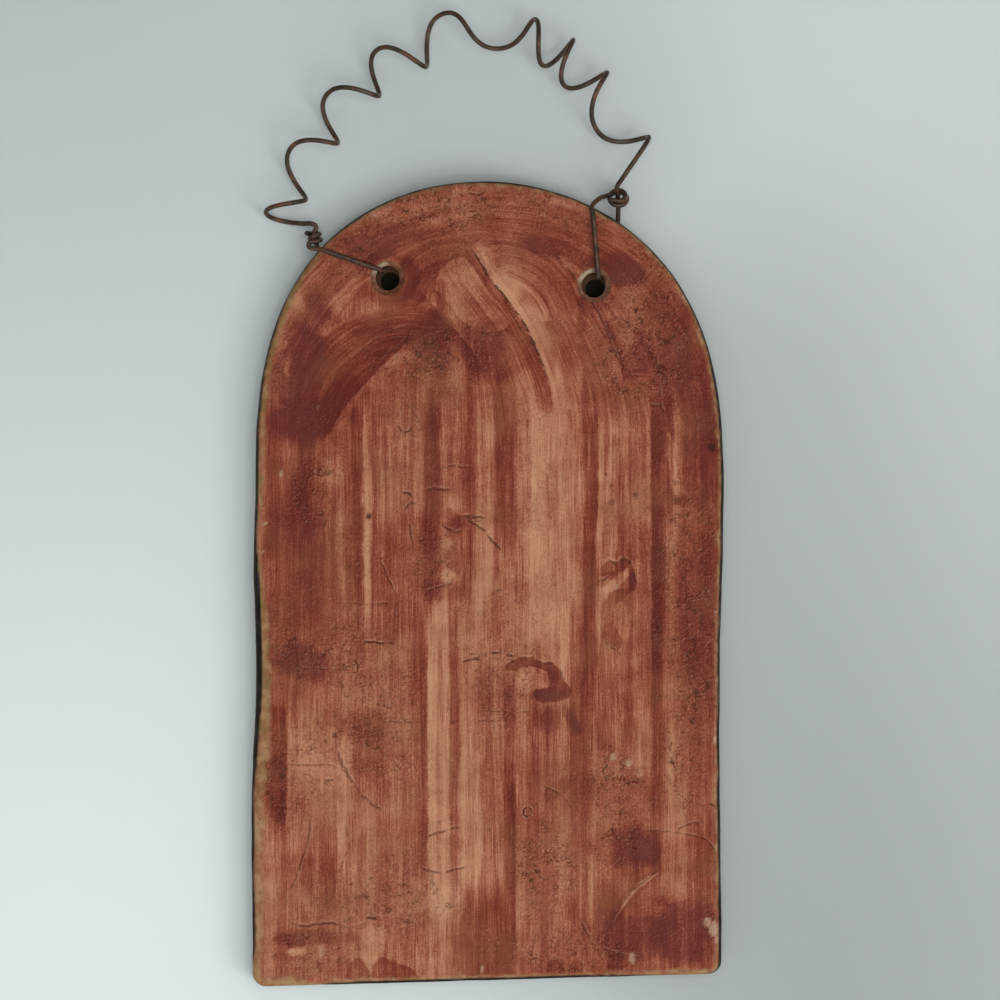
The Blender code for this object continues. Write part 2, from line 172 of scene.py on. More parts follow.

# The wall in metres, and the painted shades on it behind each hole in millimetres: how far right of and
# below the hole, outer and inner radius, screen values
FLOOR_DROP = 0.55
WALL_GAP = 0.0004
WALL_BEND = 0.25
WALL_HALF_WIDTH = 2.2
WALL_RISE = 1.6
FLOOR_RUN = 3.0
HOLE_SHADES = ((0.0, 0.0, 8.5, 6.5, (108, 78, 56)), (0.55, 0.7, 3.3, 2.9, (34, 28, 20)))

# Square lights: name, place from the plaque's middle, size, and the look that holds the power
LIGHTS = (
    ("front_light", (0.3, -2.5, -0.2), 1.8, "front_power"),
    ("key_light", (1.15, -1.25, -0.8), 0.9, "key_power"),
    ("left_light", (-1.5, -1.1, 0.1), 1.2, "side_power"),
    ("upper_light", (0.1, -1.1, 1.5), 1.2, "side_power"),
    ("lower_light", (-0.2, -1.1, -1.4), 1.2, "side_power"),
    ("right_light", (1.5, -1.1, 0.5), 1.2, "side_power"),
    ("rear_left_light", (-1.2, 1.5, 0.5), 1.2, "rear_power"),
    ("rear_right_light", (1.2, 1.5, 0.5), 1.2, "rear_power"),
)

# The camera's view across the slab's face in millimetres, its middle, and its film
VIEW_WIDTH = 325.0
VIEW_MIDDLE = (3.4, 158.3)
SENSOR_WIDTH = 36.0

# The marks below are placed on the photograph: a pixel's size in millimetres, the
# column of the slab's centre line and the row of its foot
PIXEL = 0.325
MIDDLE_COLUMN = 489.5
FOOT_ROW = 987.0

# The edge where the strokes begin to lean, and how far runs of strokes are set apart
LEANING_EDGE = (469, 246, 477, 257, 489, 277, 509, 302, 518, 315, 528, 331, 540, 358, 550, 387, 556, 420)
SWEEP_APART = 40.0
EDGE_APART = 300.0

# The bearing of each hole's side painted lit, and the glossy patch: place, half sizes and turn
BORE_LIT_BEARING = math.radians(128.0)
GLOSSY_PATCH = ((47.0, 44.5), 7.5, 6.0, 0.2)

# Brush bands: left, right, top and foot, how much more wash, how soft the two sides are
BANDS = (
    (364, 371, 395, 600, -0.26, 1.5), (381, 384, 420, 555, -0.26, 1.2), (338, 343, 480, 595, -0.2, 1.5),
    (386, 422, 400, 520, -0.16, 4), (344, 362, 440, 600, 0.06, 2), (423, 441, 410, 600, 0.26, 2),
    (441, 447, 425, 482, -0.16, 1.5), (447, 475, 400, 590, 0.12, 3), (476, 491, 400, 660, -0.14, 2),
    (496, 517, 390, 560, 0.26, 2.5), (519, 527, 430, 560, -0.06, 1.5), (529, 582, 375, 655, -0.22, 3),
    (541, 556, 400, 560, 0.06, 3), (566, 572, 420, 600, -0.08, 1.5), (583, 596, 395, 700, 0.18, 2),
    (598, 604, 420, 560, -0.12, 1.5), (607, 611, 430, 498, -0.22, 1.2), (612, 640, 430, 560, 0.02, 3),
    (650, 672, 390, 520, 0.22, 2), (652, 664, 520, 820, 0.2, 2), (676, 722, 330, 700, 0.14, 8),
    (640, 720, 300, 450, 0.12, 12), (268, 322, 450, 690, 0.1, 8), (292, 313, 452, 510, 0.14, 3),
    (271, 285, 700, 842, 0.12, 2.5), (287, 302, 715, 850, -0.18, 2), (304, 352, 715, 830, -0.2, 5),
    (354, 427, 690, 900, -0.02, 3), (429, 450, 610, 915, -0.26, 1.5), (437, 441, 640, 900, 0.14, 1.2),
    (450, 458, 640, 900, 0.08, 1.5), (459, 481, 600, 890, -0.24, 2), (481, 504, 640, 880, -0.12, 2),
    (504, 516, 680, 970, 0.2, 1.5), (518, 570, 840, 962, 0.03, 4), (571, 591, 600, 930, 0.2, 3),
    (591, 595, 690, 920, -0.12, 1.2), (669, 674, 716, 806, -0.18, 1.5), (675, 716, 712, 832, -0.03, 3),
    (462, 503, 886, 968, 0.24, 3), (388, 720, 962, 974, 0.22, 4), (262, 350, 966, 976, 0.1, 4),
)

# Soft stains: column, row, half sizes, turn in degrees, how much more wash, how plum it is
STAINS = (
    (316, 312, 17, 28, 12, 0.16, 0.6), (301, 372, 27, 42, 8, 0.24, 0.9), (300, 424, 40, 22, 0, 0.28, 0.9),
    (345, 400, 26, 26, 40, 0.12, 0.3), (296, 300, 18, 10, 58, -0.22, 0), (283, 350, 8, 30, -8, -0.16, 0),
    (356, 306, 38, 14, 14, -0.13, 0), (345, 340, 24, 12, 38, -0.08, 0), (350, 278, 22, 12, 0, -0.08, 0.1),
    (408, 278, 11, 22, 4, 0.18, 0.1), (366, 247, 26, 14, 15, 0.16, 0.4), (392, 232, 30, 8, 10, 0.12, 0.2),
    (430, 212, 50, 16, 5, -0.1, 0), (440, 345, 36, 28, 0, 0.18, 0.3), (488, 352, 26, 36, 0, 0.26, 0.5),
    (480, 310, 14, 22, -32, 0.1, 0.2), (507, 288, 20, 14, 30, -0.28, 0), (533, 322, 14, 26, -28, -0.24, 0),
    (552, 360, 12, 30, -10, -0.12, 0), (560, 300, 16, 26, -30, 0, 0), (515, 246, 34, 10, 6, 0.1, 0.3),
    (545, 250, 26, 9, 20, 0.16, 0.6), (575, 212, 46, 10, 18, -0.14, 0), (520, 205, 60, 10, 0, -0.06, 0),
    (626, 270, 22, 17, 18, 0.3, 0.9), (582, 315, 5, 20, 0, 0.2, 0.2), (652, 315, 24, 30, 0, 0.04, 0),
    (640, 360, 14, 34, 0, 0.14, 0.2), (670, 375, 22, 36, 0, 0.14, 0.4), (700, 450, 20, 60, 0, 0.16, 0.3),
    (600, 390, 30, 20, 0, 0.08, 0.1), (335, 466, 12, 22, 0, -0.14, 0), (304, 662, 30, 22, 8, 0.19, 0.5),
    (290, 530, 22, 40, 0, 0.07, 0.3), (320, 560, 26, 70, 6, 0.06, 0.2), (452, 505, 11, 12, 0, -0.16, 0),
    (459, 521, 7, 8, 0, 0.22, 0.3), (448, 544, 7, 6, 0, -0.2, 0), (448, 575, 8, 8, 0, -0.2, 0),
    (440, 590, 26, 12, 10, 0.16, 0.3), (365, 725, 26, 18, 0, 0.16, 0.5), (372, 775, 20, 40, 0, 0.08, 0.2),
    (528, 680, 12, 11, 0, -0.14, 0), (552, 676, 10, 10, 0, 0.14, 0.5), (550, 694, 20, 7, 0, 0.26, 0.6),
    (509, 694, 4, 9, 0, 0.16, 0.2), (550, 722, 12, 12, 0, 0.12, 0.4), (571, 719, 5, 16, -30, 0.22, 0.3),
    (540, 745, 24, 16, 0, -0.08, 0), (612, 576, 9, 5, 0, 0.16, 0.2), (616, 582, 17, 5, -38, -0.26, 0),
    (632, 579, 4, 9, 0, 0.16, 0.8), (624, 622, 10, 17, 0, -0.06, 0), (660, 554, 8, 6, 0, 0.2, 0.3),
    (612, 720, 22, 40, 0, 0.02, 0.2), (616, 790, 22, 34, 0, 0.02, 0.5), (557, 790, 20, 8, -35, 0.16, 0.3),
    (636, 848, 28, 24, -10, 0.3, 0.7), (690, 860, 30, 24, 0, 0.08, 0.1), (632, 935, 46, 24, 10, 0.18, 0.6),
    (684, 930, 36, 36, 0, 0.26, 0.8), (610, 905, 14, 26, 0, 0.16, 0.3), (320, 880, 22, 40, -35, 0.12, 0.3),
    (310, 938, 44, 9, 0, 0.22, 0.6), (297, 952, 10, 4, 0, -0.34, 0), (425, 938, 34, 20, 0, 0.12, 0.3),
    (447, 898, 14, 16, 0, -0.16, 0), (545, 880, 46, 16, 0, 0.04, 0), (690, 600, 24, 80, 0, 0.08, 0.2),
)

# Curved sweeps: column, row, radius, half width, first and last angle in degrees, more wash
SWEEPS = (
    (489, 440, 222, 26, 20, 160, 0.02), (408, 425, 90, 28, 66, 180, 0.12),
    (452, 300, 42, 20, 70, 186, 0.08), (496, 330, 60, 34, 12, 100, 0),
)

# Crisp edges in three layers.  An edge written downwards or to the right has a left or lower
# side and a right or upper side; a closed edge has an inside and an outside.  Each row has
# more wash and its reach on the first side, the same on the second, whether closed, and points.
EDGES = (
    (
        (0.24, 7, -0.07, 5, False, LEANING_EDGE),
        (-0.12, 5, 0.24, 10, False, (320, 450, 339, 416, 352, 398, 365, 384, 386, 363, 400, 349, 410, 341)),
        (-0.08, 3, 0.2, 5, False, (588, 297, 600, 316, 611, 344, 619, 363, 624, 385)),
        (0.16, 7, -0.12, 3, False, (428, 640, 427.5, 700, 428.5, 800, 427, 885)),
        (0.12, 3, -0.2, 2.4, False, (597, 400, 598, 470, 596.5, 545, 596, 579)),
        (0.14, 2.4, -0.08, 3, False, (513, 700, 514, 800, 516, 900, 514, 965)),
        (-0.08, 3, 0.16, 6, False, (650, 400, 652, 553, 652, 667)),
        (0.08, 4.6, -0.12, 3, False, (285, 706, 287, 760, 284, 838)),
        (0.14, 4, -0.08, 4, False, (363, 400, 363, 500, 362, 600)),
    ),
    (
        # These two rows darken the pressed hollow's upper rim and its right side: painted shadow
        (0.22, 5, 0, 1, True, (600, 576, 603, 565, 611, 561, 618, 563, 626, 558, 630, 565, 622, 571,
          612, 575)),
        (0.22, 5, 0, 1, True, (631, 563, 635, 574, 636, 586, 631, 592, 630, 580, 629, 570)),
        (0.26, 9, -0.06, 1.6, True, (511, 672, 504, 667, 516, 660, 531, 657, 541, 662, 553, 664, 560, 669,
          562, 678, 572, 691, 566, 699, 552, 702, 536, 700, 534, 690, 548, 687, 550, 677, 542, 669,
          526, 667)),
        (-0.14, 9, 0, 1, True, (359, 930, 372, 926, 386, 930, 384, 950, 377, 961, 369, 969, 363, 960,
          360, 945)),
        (-0.13, 9, 0.08, 2, True, (435, 289, 439, 272, 450, 262, 462, 257, 470, 262, 484, 285, 497, 306,
          508, 326, 490, 332, 475, 328, 459, 318, 446, 302)),
        (-0.14, 3, 0.08, 1.5, True, (557, 253, 566, 257, 580, 269, 583, 275, 574, 273, 564, 266)),
        (-0.2, 3, 0.06, 1, True, (666, 425, 670, 433, 677, 470, 680, 495, 674, 494, 669, 465)),
        (0.1, 5, 0, 1, True, (377, 604, 396, 604, 395, 641, 377, 641)),
        (0.1, 6, 0, 1, True, (628, 852, 632, 836, 646, 831, 658, 834, 658, 860, 640, 868)),
        (0.08, 6, -0.06, 1.5, True, (571, 700, 566, 720, 572, 736, 580, 735, 577, 716, 576, 702)),
    ),
    (
        (0.24, 5, -0.06, 1.5, False, (419, 288, 430, 302, 440, 315, 462, 337, 476, 356, 482, 372)),
        (0.13, 9, -0.05, 1.4, True, (611, 591, 605, 602, 604, 621, 602, 637, 609, 645, 617, 650, 623, 643,
          615, 627, 614, 612, 617, 604, 626, 597, 633, 588, 622, 589)),
        (-0.15, 4, 0, 1, True, (597, 586, 610, 586, 606, 596, 602, 606, 601, 635, 598, 657, 596, 640,
          596, 600)),
        (0.22, 5, 0, 1, True, (345, 979, 350, 962, 358, 957, 364, 962, 370, 979)),
        (0.22, 5, 0, 1, True, (370, 979, 376, 960, 384, 957, 393, 961, 406, 966, 420, 978)),
        (0.2, 4, 0, 1, True, (546, 972, 549, 962, 556, 960, 562, 964, 564, 972)),
        (0.2, 4, 0, 1, True, (569, 972, 572, 962, 578, 960, 583, 965, 584, 972)),
        (0.16, 4, 0, 1, True, (673, 497, 684, 496, 690, 500, 684, 507, 676, 505)),
        (0.18, 4, 0, 1, True, (606, 968, 608, 958, 618, 953, 628, 960, 627, 968)),
        (0.12, 4, 0, 1, True, (436, 518, 446, 508, 458, 514, 461, 528, 448, 530, 440, 526)),
        (-0.1, 4, 0, 1, True, (440, 582, 444, 570, 456, 573, 462, 582, 452, 588)),
        (-0.14, 4, 0.06, 1, True, (290, 949, 304, 946, 307, 951, 300, 956, 289, 955)),
        (0.08, 4, 0, 1, True, (272, 708, 280, 706, 287, 714, 284, 724, 276, 722, 271, 716)),
        (0.1, 4, 0, 1, True, (270, 760, 280, 755, 285, 766, 284, 782, 273, 780, 269, 770)),
        (0.14, 4, 0, 1, True, (270, 792, 283, 788, 284, 806, 279, 822, 270, 818, 271, 804)),
        (-0.14, 3, 0.1, 1, True, (429, 302, 434, 292, 446, 303, 455, 316, 452, 320, 440, 312)),
        (0.12, 4, 0, 1, False, (419, 262, 421.5, 275, 420, 292)),
        (-0.2, 4, 0, 1, True, (318, 944, 324, 943, 324, 956, 321, 962, 318, 957)),
        (-0.2, 3, 0.14, 2, True, (662, 870, 650, 880, 634, 894, 610, 925, 622, 902, 640, 882)),
    ),
)

# Creases, cracks and scratches: half width, strength, and the points that they pass
MARKS = (
    (0.34, 0.85, LEANING_EDGE[:-2]),
    (0.25, 0.5, (504, 304, 514, 319, 524, 336, 532, 352)),
    (0.3, 0.5, (588, 297, 600, 316, 611, 344, 619, 363)),
    (0.25, 0.4, (556, 254, 565, 265, 576, 280, 582, 296)),
    (0.25, 0.4, (345, 603, 372, 604, 400, 602)),
    (0.3, 0.9, (364, 641, 380, 643, 396, 643)),
    (0.22, 0.5, (395, 604, 394, 640)),
    (0.3, 0.9, (466, 654, 485, 653, 502, 653, 516, 657)),
    (0.3, 0.8, (457, 662, 470, 660, 481, 659)),
    (0.22, 0.5, (477, 710, 490, 711, 513, 712)),
    (0.22, 0.4, (477, 721, 497, 721)),
    (0.25, 0.5, (385, 721, 400, 722, 421, 722)),
    (0.25, 0.5, (290, 668, 310, 669, 350, 670)),
    (0.25, 0.5, (286, 765, 310, 765, 336, 765)),
    (0.3, 0.7, (325, 780, 334, 780)),
    (0.45, 0.6, (334, 742, 342, 765, 354, 785, 368, 801, 386, 812)),
    (0.35, 0.7, (288, 922, 305, 926, 325, 923, 345, 925)),
    (0.4, 0.8, (362, 918, 378, 918, 386, 923)),
    (0.25, 0.5, (310, 815, 309, 835, 302, 860, 293, 885, 284, 910)),
    (0.25, 0.4, (345, 820, 348, 845, 338, 875, 330, 905)),
    (0.35, 0.6, (504, 667, 516, 660, 531, 657, 541, 662, 553, 664, 560, 669, 564, 684)),
    # Painted shadow along the pressed hollow's upper rim and right side
    (0.35, 0.7, (602, 567, 610, 561, 617, 563, 625, 558, 631, 565, 634, 576, 636, 585)),
    (0.3, 0.6, (596, 582, 604, 580, 609, 576)),
    (0.3, 0.5, (603, 640, 612, 648, 622, 655)),
    (0.3, 0.5, (540, 784, 552, 790, 566, 800, 572, 808)),
    (0.3, 0.5, (662, 868, 648, 878, 630, 893, 609, 926)),
    (0.3, 0.5, (577, 915, 590, 940, 604, 962)),
    (0.25, 0.5, (640, 831, 664, 831, 690, 835, 706, 840, 718, 855)),
    (0.35, 0.9, (709, 804, 722, 806)),
    (0.3, 0.5, (600, 948, 620, 954, 640, 958)),
    (0.3, 0.7, (398, 424, 402, 432, 410, 431, 411, 424)),
    (0.35, 0.8, (402, 492, 409, 493, 411, 497)),
    (0.3, 0.6, (404, 510, 411, 503, 417, 504)),
    (0.3, 0.7, (409, 524, 412, 540)),
    (0.3, 0.6, (312, 519, 326, 519, 322, 530)),
    (0.35, 0.6, (440, 467, 455, 466, 473, 468)),
    (0.4, 0.7, (426, 490, 438, 489, 450, 490)),
    (0.35, 0.6, (442, 525, 455, 532, 462, 530)),
    (0.35, 0.7, (462, 516, 474, 516, 486, 518)),
    (0.35, 0.7, (465, 520, 480, 527, 492, 541, 503, 552)),
    (0.3, 0.6, (425, 592, 445, 585, 454, 578)),
    (0.3, 0.7, (468, 192, 478, 195, 486, 191)),
    (0.3, 0.6, (462, 211, 468, 218, 478, 214)),
    (0.25, 0.4, (348, 362, 362, 350, 384, 334, 410, 325)),
    (0.25, 0.4, (395, 385, 406, 402, 422, 424)),
    (0.3, 0.5, (648, 405, 658, 406, 664, 412)),
    (0.25, 0.5, (655, 350, 659, 380, 662, 420)),
    (0.3, 0.5, (675, 830, 697, 822, 702, 834)),
    (0.3, 0.5, (380, 560, 388, 578, 396, 594)),
    (0.35, 0.6, (423, 838, 440, 832, 462, 826)),
    (0.35, 0.6, (420, 868, 440, 872, 470, 866)),
    (0.22, 1, (532, 812, 530.7, 815.2, 527.5, 816.5, 524.3, 815.2, 523, 812, 524.3, 808.8, 527.5, 807.5,
      530.7, 808.8, 532, 812)),
)

# Small pits: column, row, radius in millimetres, strength
PITS = (
    (369, 516, 1, 1), (712, 447, 1.3, 1), (335, 735, 0.7, 0.9), (318, 724, 0.5, 0.8), (531, 880, 0.8, 0.9),
    (485, 655, 0.6, 0.5), (530, 880, 0.5, 0.8), (525, 711, 0.5, 0.8), (439, 822, 0.6, 0.7),
    (489, 830, 0.6, 0.7), (452, 722, 0.5, 0.7), (611, 486, 0.5, 0.8), (635, 495, 0.9, 0.7),
    (606, 474, 0.6, 0.7), (498, 591, 0.6, 0.7), (686, 328, 0.5, 0.9), (659, 338, 0.5, 0.8),
    (661, 433, 0.5, 0.7), (676, 500, 1.4, 0.5), (611, 503, 1.2, 0.5), (449, 583, 0.6, 0.6),
    (713, 625, 0.7, 0.6), (351, 884, 0.5, 0.7), (476, 670, 0.5, 0.7),
)

# Chips and pale specks: column, row, half width and half height in millimetres
CHIPS = (
    (281, 474, 0.55, 0.95), (317.5, 405, 0.18, 1.3), (265, 523, 0.55, 0.35), (260, 635, 0.6, 0.6),
    (617, 587, 0.75, 0.5), (613, 591, 0.3, 0.5), (622, 584, 0.3, 0.6), (613, 757, 1, 1.2),
    (629, 763, 1, 1.2), (641, 775, 0.6, 0.5), (321, 952, 0.5, 1.6), (482, 969, 0.4, 1),
    (632, 958, 0.9, 1.7), (714, 929, 1.5, 2.6), (708, 922, 1.2, 1.6), (717, 940, 0.7, 1.2),
    (449, 582, 0.4, 0.4), (482, 590, 0.3, 0.3), (263, 551, 0.3, 0.3), (684, 296, 0.9, 0.4),
    (717, 612, 0.5, 0.5), (715, 740, 0.5, 1.2), (512, 576, 0.3, 0.9), (360, 922, 0.5, 0.5),
)

# Raised ovals left by the tool: column, row, half sizes in millimetres, turn in degrees
OVALS = (
    (381, 244, 1.4, 0.9, 40), (412, 242, 1.9, 1.2, 25), (527.5, 812, 1.3, 1.3, 0), (613, 246, 1.5, 1, -20),
    (610, 233, 1.2, 0.8, 10), (647, 406, 1.4, 0.8, 0),
)

# Where the face is grainy and pitted: column, row and half sizes
GRAINY = (
    (465, 350, 46, 32), (440, 210, 60, 22), (370, 215, 44, 26), (345, 262, 34, 24), (640, 350, 50, 60),
    (315, 495, 26, 40), (345, 650, 30, 40), (375, 720, 44, 60), (300, 655, 26, 26), (500, 690, 26, 40),
    (545, 880, 40, 50), (560, 950, 60, 22), (400, 905, 60, 34), (300, 780, 50, 60), (690, 600, 34, 120),
    (620, 810, 34, 60), (690, 740, 28, 80), (430, 560, 26, 40), (300, 950, 44, 24), (640, 240, 30, 30),
    (500, 200, 70, 18), (570, 215, 50, 18), (660, 300, 34, 44), (410, 360, 40, 30),
)


def in_mm(pixels):
    """A length of the photograph in millimetres, to a tenth."""
    return round(pixels * PIXEL, 1)


def on_face(column, row):
    """Where a pixel of the photograph lies across and up the face, in millimetres."""
    return in_mm(column - MIDDLE_COLUMN), in_mm(FOOT_ROW - row)


def line_on_face(pixels):
    """The places of a line's pixels, which are written column, row, column, row."""
    return [on_face(*pixel) for pixel in zip(pixels[::2], pixels[1::2])]


def unit(ways):
    """Directions brought to length 1."""
    return ways / np.linalg.norm(ways, axis=-1, keepdims=True)


def lifted(places, depth):
    """Places across and up, set at a depth."""
    return np.stack([places[..., 0], np.broadcast_to(depth, places.shape[:-1]), places[..., 1]], axis=-1)


def ease(low, high, value):
    """Smooth step: 0 below low, 1 above high, 3t^2 - 2t^3 between."""
    share = np.clip((value - low) / (high - low), 0.0, 1.0)
    return share * share * (3 - 2 * share)


def cloud(across, up, seed):
    """Value noise from -1 to 1: a seeded lattice of numbers, blended with the smooth step."""
    lattice = np.random.default_rng(seed).uniform(-1.0, 1.0, (64, 64))
    column, row = np.floor(across).astype(int), np.floor(up).astype(int)
    beside, above = ease(0, 1, across - column), ease(0, 1, up - row)
    column, row, next_column, next_row = column % 64, row % 64, (column + 1) % 64, (row + 1) % 64
    low = lattice[column, row] * (1 - beside) + lattice[next_column, row] * beside
    high = lattice[column, next_row] * (1 - beside) + lattice[next_column, next_row] * beside
    return low * (1 - above) + high * above


def oval(x, z, place, half_across, half_up, turn):
    """Distance from an oval's middle in its own half sizes, so that its rim is at 1."""
    across, up = x - place[0], z - place[1]
    cosine, sine = math.cos(turn), math.sin(turn)
    return np.hypot((across * cosine + up * sine) / half_across, (up * cosine - across * sine) / half_up)


def spline_through(points, steps):
    """Centripetal Catmull-Rom curve through the points, as one array.

    Each span is a cubic between two points.  Its pulls follow from the square roots of the
    distances to the neighbours, and all spans are worked out together.
    """
    points = np.asarray(points, float)
    ends = np.vstack([2 * points[0] - points[1], points, 2 * points[-1] - points[-2]])
    before, start, end, after = ends[:-3], ends[1:-2], ends[2:-1], ends[3:]
    roots = [np.sqrt(np.linalg.norm(b - a, axis=1))[:, None]
             for a, b in ((before, start), (start, end), (end, after))]
    a, b, c = roots
    leave = ((start - before) / a - (end - before) / (a + b) + (end - start) / b) * b
    arrive = ((end - start) / b - (after - start) / (b + c) + (after - end) / c) * b
    share = (np.arange(steps) / steps)[:, None]
    curve = hermite(start[:, None], leave[:, None], end[:, None], arrive[:, None], share)
    return np.vstack([curve.reshape(-1, points.shape[1]), points[-1:]])


def hermite(start, leave, end, arrive, share):
    """The cubic that leaves start and arrives at end, at each share of the way."""
    square, cube = share ** 2, share ** 3
    return ((2 * cube - 3 * square + 1) * start + (cube - 2 * square + share) * leave
            + (3 * square - 2 * cube) * end + (cube - square) * arrive)


def spaced(line, count):
    """A line cut into count equal lengths."""
    run = np.concatenate([[0.0], np.cumsum(np.linalg.norm(np.diff(line, axis=0), axis=1))])
    marks = np.linspace(0.0, run[-1], count + 1)
    return np.stack([np.interp(marks, run, part) for part in line.T], axis=1)


def offset_from(x, z, line):
    """Signed distance from each place to a line of points, and the share of the line reached.

    For every piece of the line the nearest point on it is found; the nearest piece counts,
    and the side is the sign of the cross product with its direction.
    """
    line = np.asarray(line, float)
    start, way = line[:-1, :, None], np.diff(line, axis=0)[:, :, None]
    across, up = x - start[:, 0], z - start[:, 1]
    length = (way ** 2).sum(axis=1)
    share = np.clip((across * way[:, 0] + up * way[:, 1]) / length, 0.0, 1.0)
    far = np.hypot(across - share * way[:, 0], up - share * way[:, 1])
    piece = far.argmin(axis=0)[None]
    side = np.sign(across * way[:, 1] - up * way[:, 0])
    pick = [np.take_along_axis(values, piece, axis=0)[0] for values in (far * side, share)]
    return pick[0], (piece[0] + pick[1]) / len(way)


def inside_of(x, z, line):
    """Whether each place lies inside a closed line.

    It does where a run to its right crosses the line an odd number of times.
    """
    start, end = line[:-1, :, None], line[1:, :, None]
    spans = (start[:, 1] > z) != (end[:, 1] > z)
    rise = end[:, 1] - start[:, 1]
    meet = start[:, 0] + (z - start[:, 1]) / np.where(rise == 0, 1.0, rise) * (end[:, 0] - start[:, 0])
    return (spans & (x < meet)).sum(axis=0) % 2 == 1


def slab_outline():
    """The slab's outline anticlockwise from the front: arch, left side, foot and right side.

    The arch is a superellipse that leans: across = half width cos t - lean rise^2, with
    rise = sin(t)^(2 / fullness).  Each side is a smooth line through its wanderings, and
    each lower corner is a quarter circle.
    """
    half_width, spring = SLAB_WIDTH / 2, SLAB_HEIGHT - ARCH_HEIGHT
    turn = np.linspace(0.0, math.pi, 481)
    rise = np.clip(np.sin(turn), 0.0, 1.0) ** (2 / ARCH_FULLNESS)
    across = half_width * np.cos(turn) - ARCH_LEAN * rise ** 2
    parts = [np.stack([across, spring + ARCH_HEIGHT * rise], axis=1)]
    quarter = np.linspace(0.0, math.pi / 2, 25)
    for wander, sign, foot in ((LEFT_SIDE_WANDER, -1, 0.0), (RIGHT_SIDE_WANDER, 1, FOOT_RISE)):
        strays = [(stray, spring * share) for share, stray in wander]
        marks = [(0.0, spring)] + strays + [(wander[-1][1], 0.0)]
        side = spline_through(marks, 24)[1:]
        side = side[side[:, 1] > foot + CORNER_RADIUS]
        side = np.stack([sign * (half_width + side[:, 0]), side[:, 1]], axis=1)
        middle = np.array([side[-1, 0] - sign * CORNER_RADIUS, foot + CORNER_RADIUS])
        corner = middle + CORNER_RADIUS * np.stack([sign * np.cos(quarter), -np.sin(quarter)], axis=1)
        parts += [side, corner] if sign < 0 else [corner[::-1], side[::-1]]
    return np.vstack(parts)


def four_sides(outline):
    """The outline as foot, right, arch and left sides, met at its four furthest diagonal places."""
    middle = (outline.min(axis=0) + outline.max(axis=0)) / 2
    diagonals = np.array([(-1, -1), (1, -1), (1, 1), (-1, 1)])
    corners = [int(np.argmax((outline - middle) @ diagonal)) for diagonal in diagonals]
    line = np.roll(outline, -corners[0], axis=0)
    cuts = [(corner - corners[0]) % len(outline) for corner in corners] + [len(outline)]
    line = np.vstack([line, line[:1]])
    counts = (CELLS_ACROSS, CELLS_UP, CELLS_ACROSS, CELLS_UP)
    return [spaced(line[low:high + 1], count) for low, high, count in zip(cuts, cuts[1:], counts)]


def inward(ring):
    """The inward direction at each point of a closed anticlockwise ring."""
    way = unit(np.roll(ring, -1, axis=0) - np.roll(ring, 1, axis=0))
    return np.stack([-way[:, 1], way[:, 0]], axis=1)


def even_patch(ring):
    """A grid inside a ring of points in which each point is the mean of its four neighbours.

    The outer points are the ring's.  Written in sine waves along both ways of the grid, the
    rule gives each wave's height by one division, so no steps are needed.
    """
    grid = np.zeros((CELLS_ACROSS + 1, CELLS_UP + 1, 2))
    corners = np.cumsum([0, CELLS_ACROSS, CELLS_UP, CELLS_ACROSS])
    ring = np.vstack([ring, ring[:1]])
    grid[:, 0] = ring[:corners[1] + 1]
    grid[-1, :] = ring[corners[1]:corners[2] + 1]
    grid[:, -1] = ring[corners[2]:corners[3] + 1][::-1]
    grid[0, :] = ring[corners[3]:][::-1]
    pull = np.zeros((CELLS_ACROSS - 1, CELLS_UP - 1, 2))
    pull[0] += grid[0, 1:-1]
    pull[-1] += grid[-1, 1:-1]
    pull[:, 0] += grid[1:-1, 0]
    pull[:, -1] += grid[1:-1, -1]
    waves, rates = [], []
    for count in (CELLS_ACROSS, CELLS_UP):
        number = np.arange(1, count)
        waves.append(np.sin(math.pi * np.outer(number, number) / count) * math.sqrt(2 / count))
        rates.append(2 - 2 * np.cos(math.pi * number / count))
    heights = np.einsum("ai,ijc,jb->abc", waves[0], pull, waves[1], optimize=True)
    heights /= (rates[0][:, None] + rates[1][None])[:, :, None]
    grid[1:-1, 1:-1] = np.einsum("ia,abc,bj->ijc", waves[0], heights, waves[1], optimize=True)
    return grid


def hole_cell(grid, hole):
    """The even cell corner nearest to a hole."""
    far = np.linalg.norm(grid[::2, ::2] - hole, axis=2)
    return 2 * np.array(np.unravel_index(far.argmin(), far.shape))


def round_hole(grid, hole, cell, radius):
    """Grid places drawn round a hole.

    Rings of cells round the hole's own are moved onto circles: at m blocks from the middle
    the circle has m times the radius.  The move fades out between 1 and HOLE_REACH blocks.
    """
    i, j = cell
    across = (grid[i + HOLE_CELLS, j] - grid[i - HOLE_CELLS, j]) / 2
    up = (grid[i, j + HOLE_CELLS] - grid[i, j - HOLE_CELLS]) / 2
    a = (np.arange(grid.shape[0]) - i)[:, None] / HOLE_CELLS
    b = (np.arange(grid.shape[1]) - j)[None] / HOLE_CELLS
    blocks = np.maximum(np.abs(a), np.abs(b))
    way = a[:, :, None] * across + b[:, :, None] * up
    way /= np.maximum(np.linalg.norm(way, axis=2), 1e-6)[:, :, None]
    circle = hole + way * (blocks * radius)[:, :, None]
    stay = ease(1.0, HOLE_REACH, blocks)[:, :, None]
    return circle * (1 - stay) + grid * stay


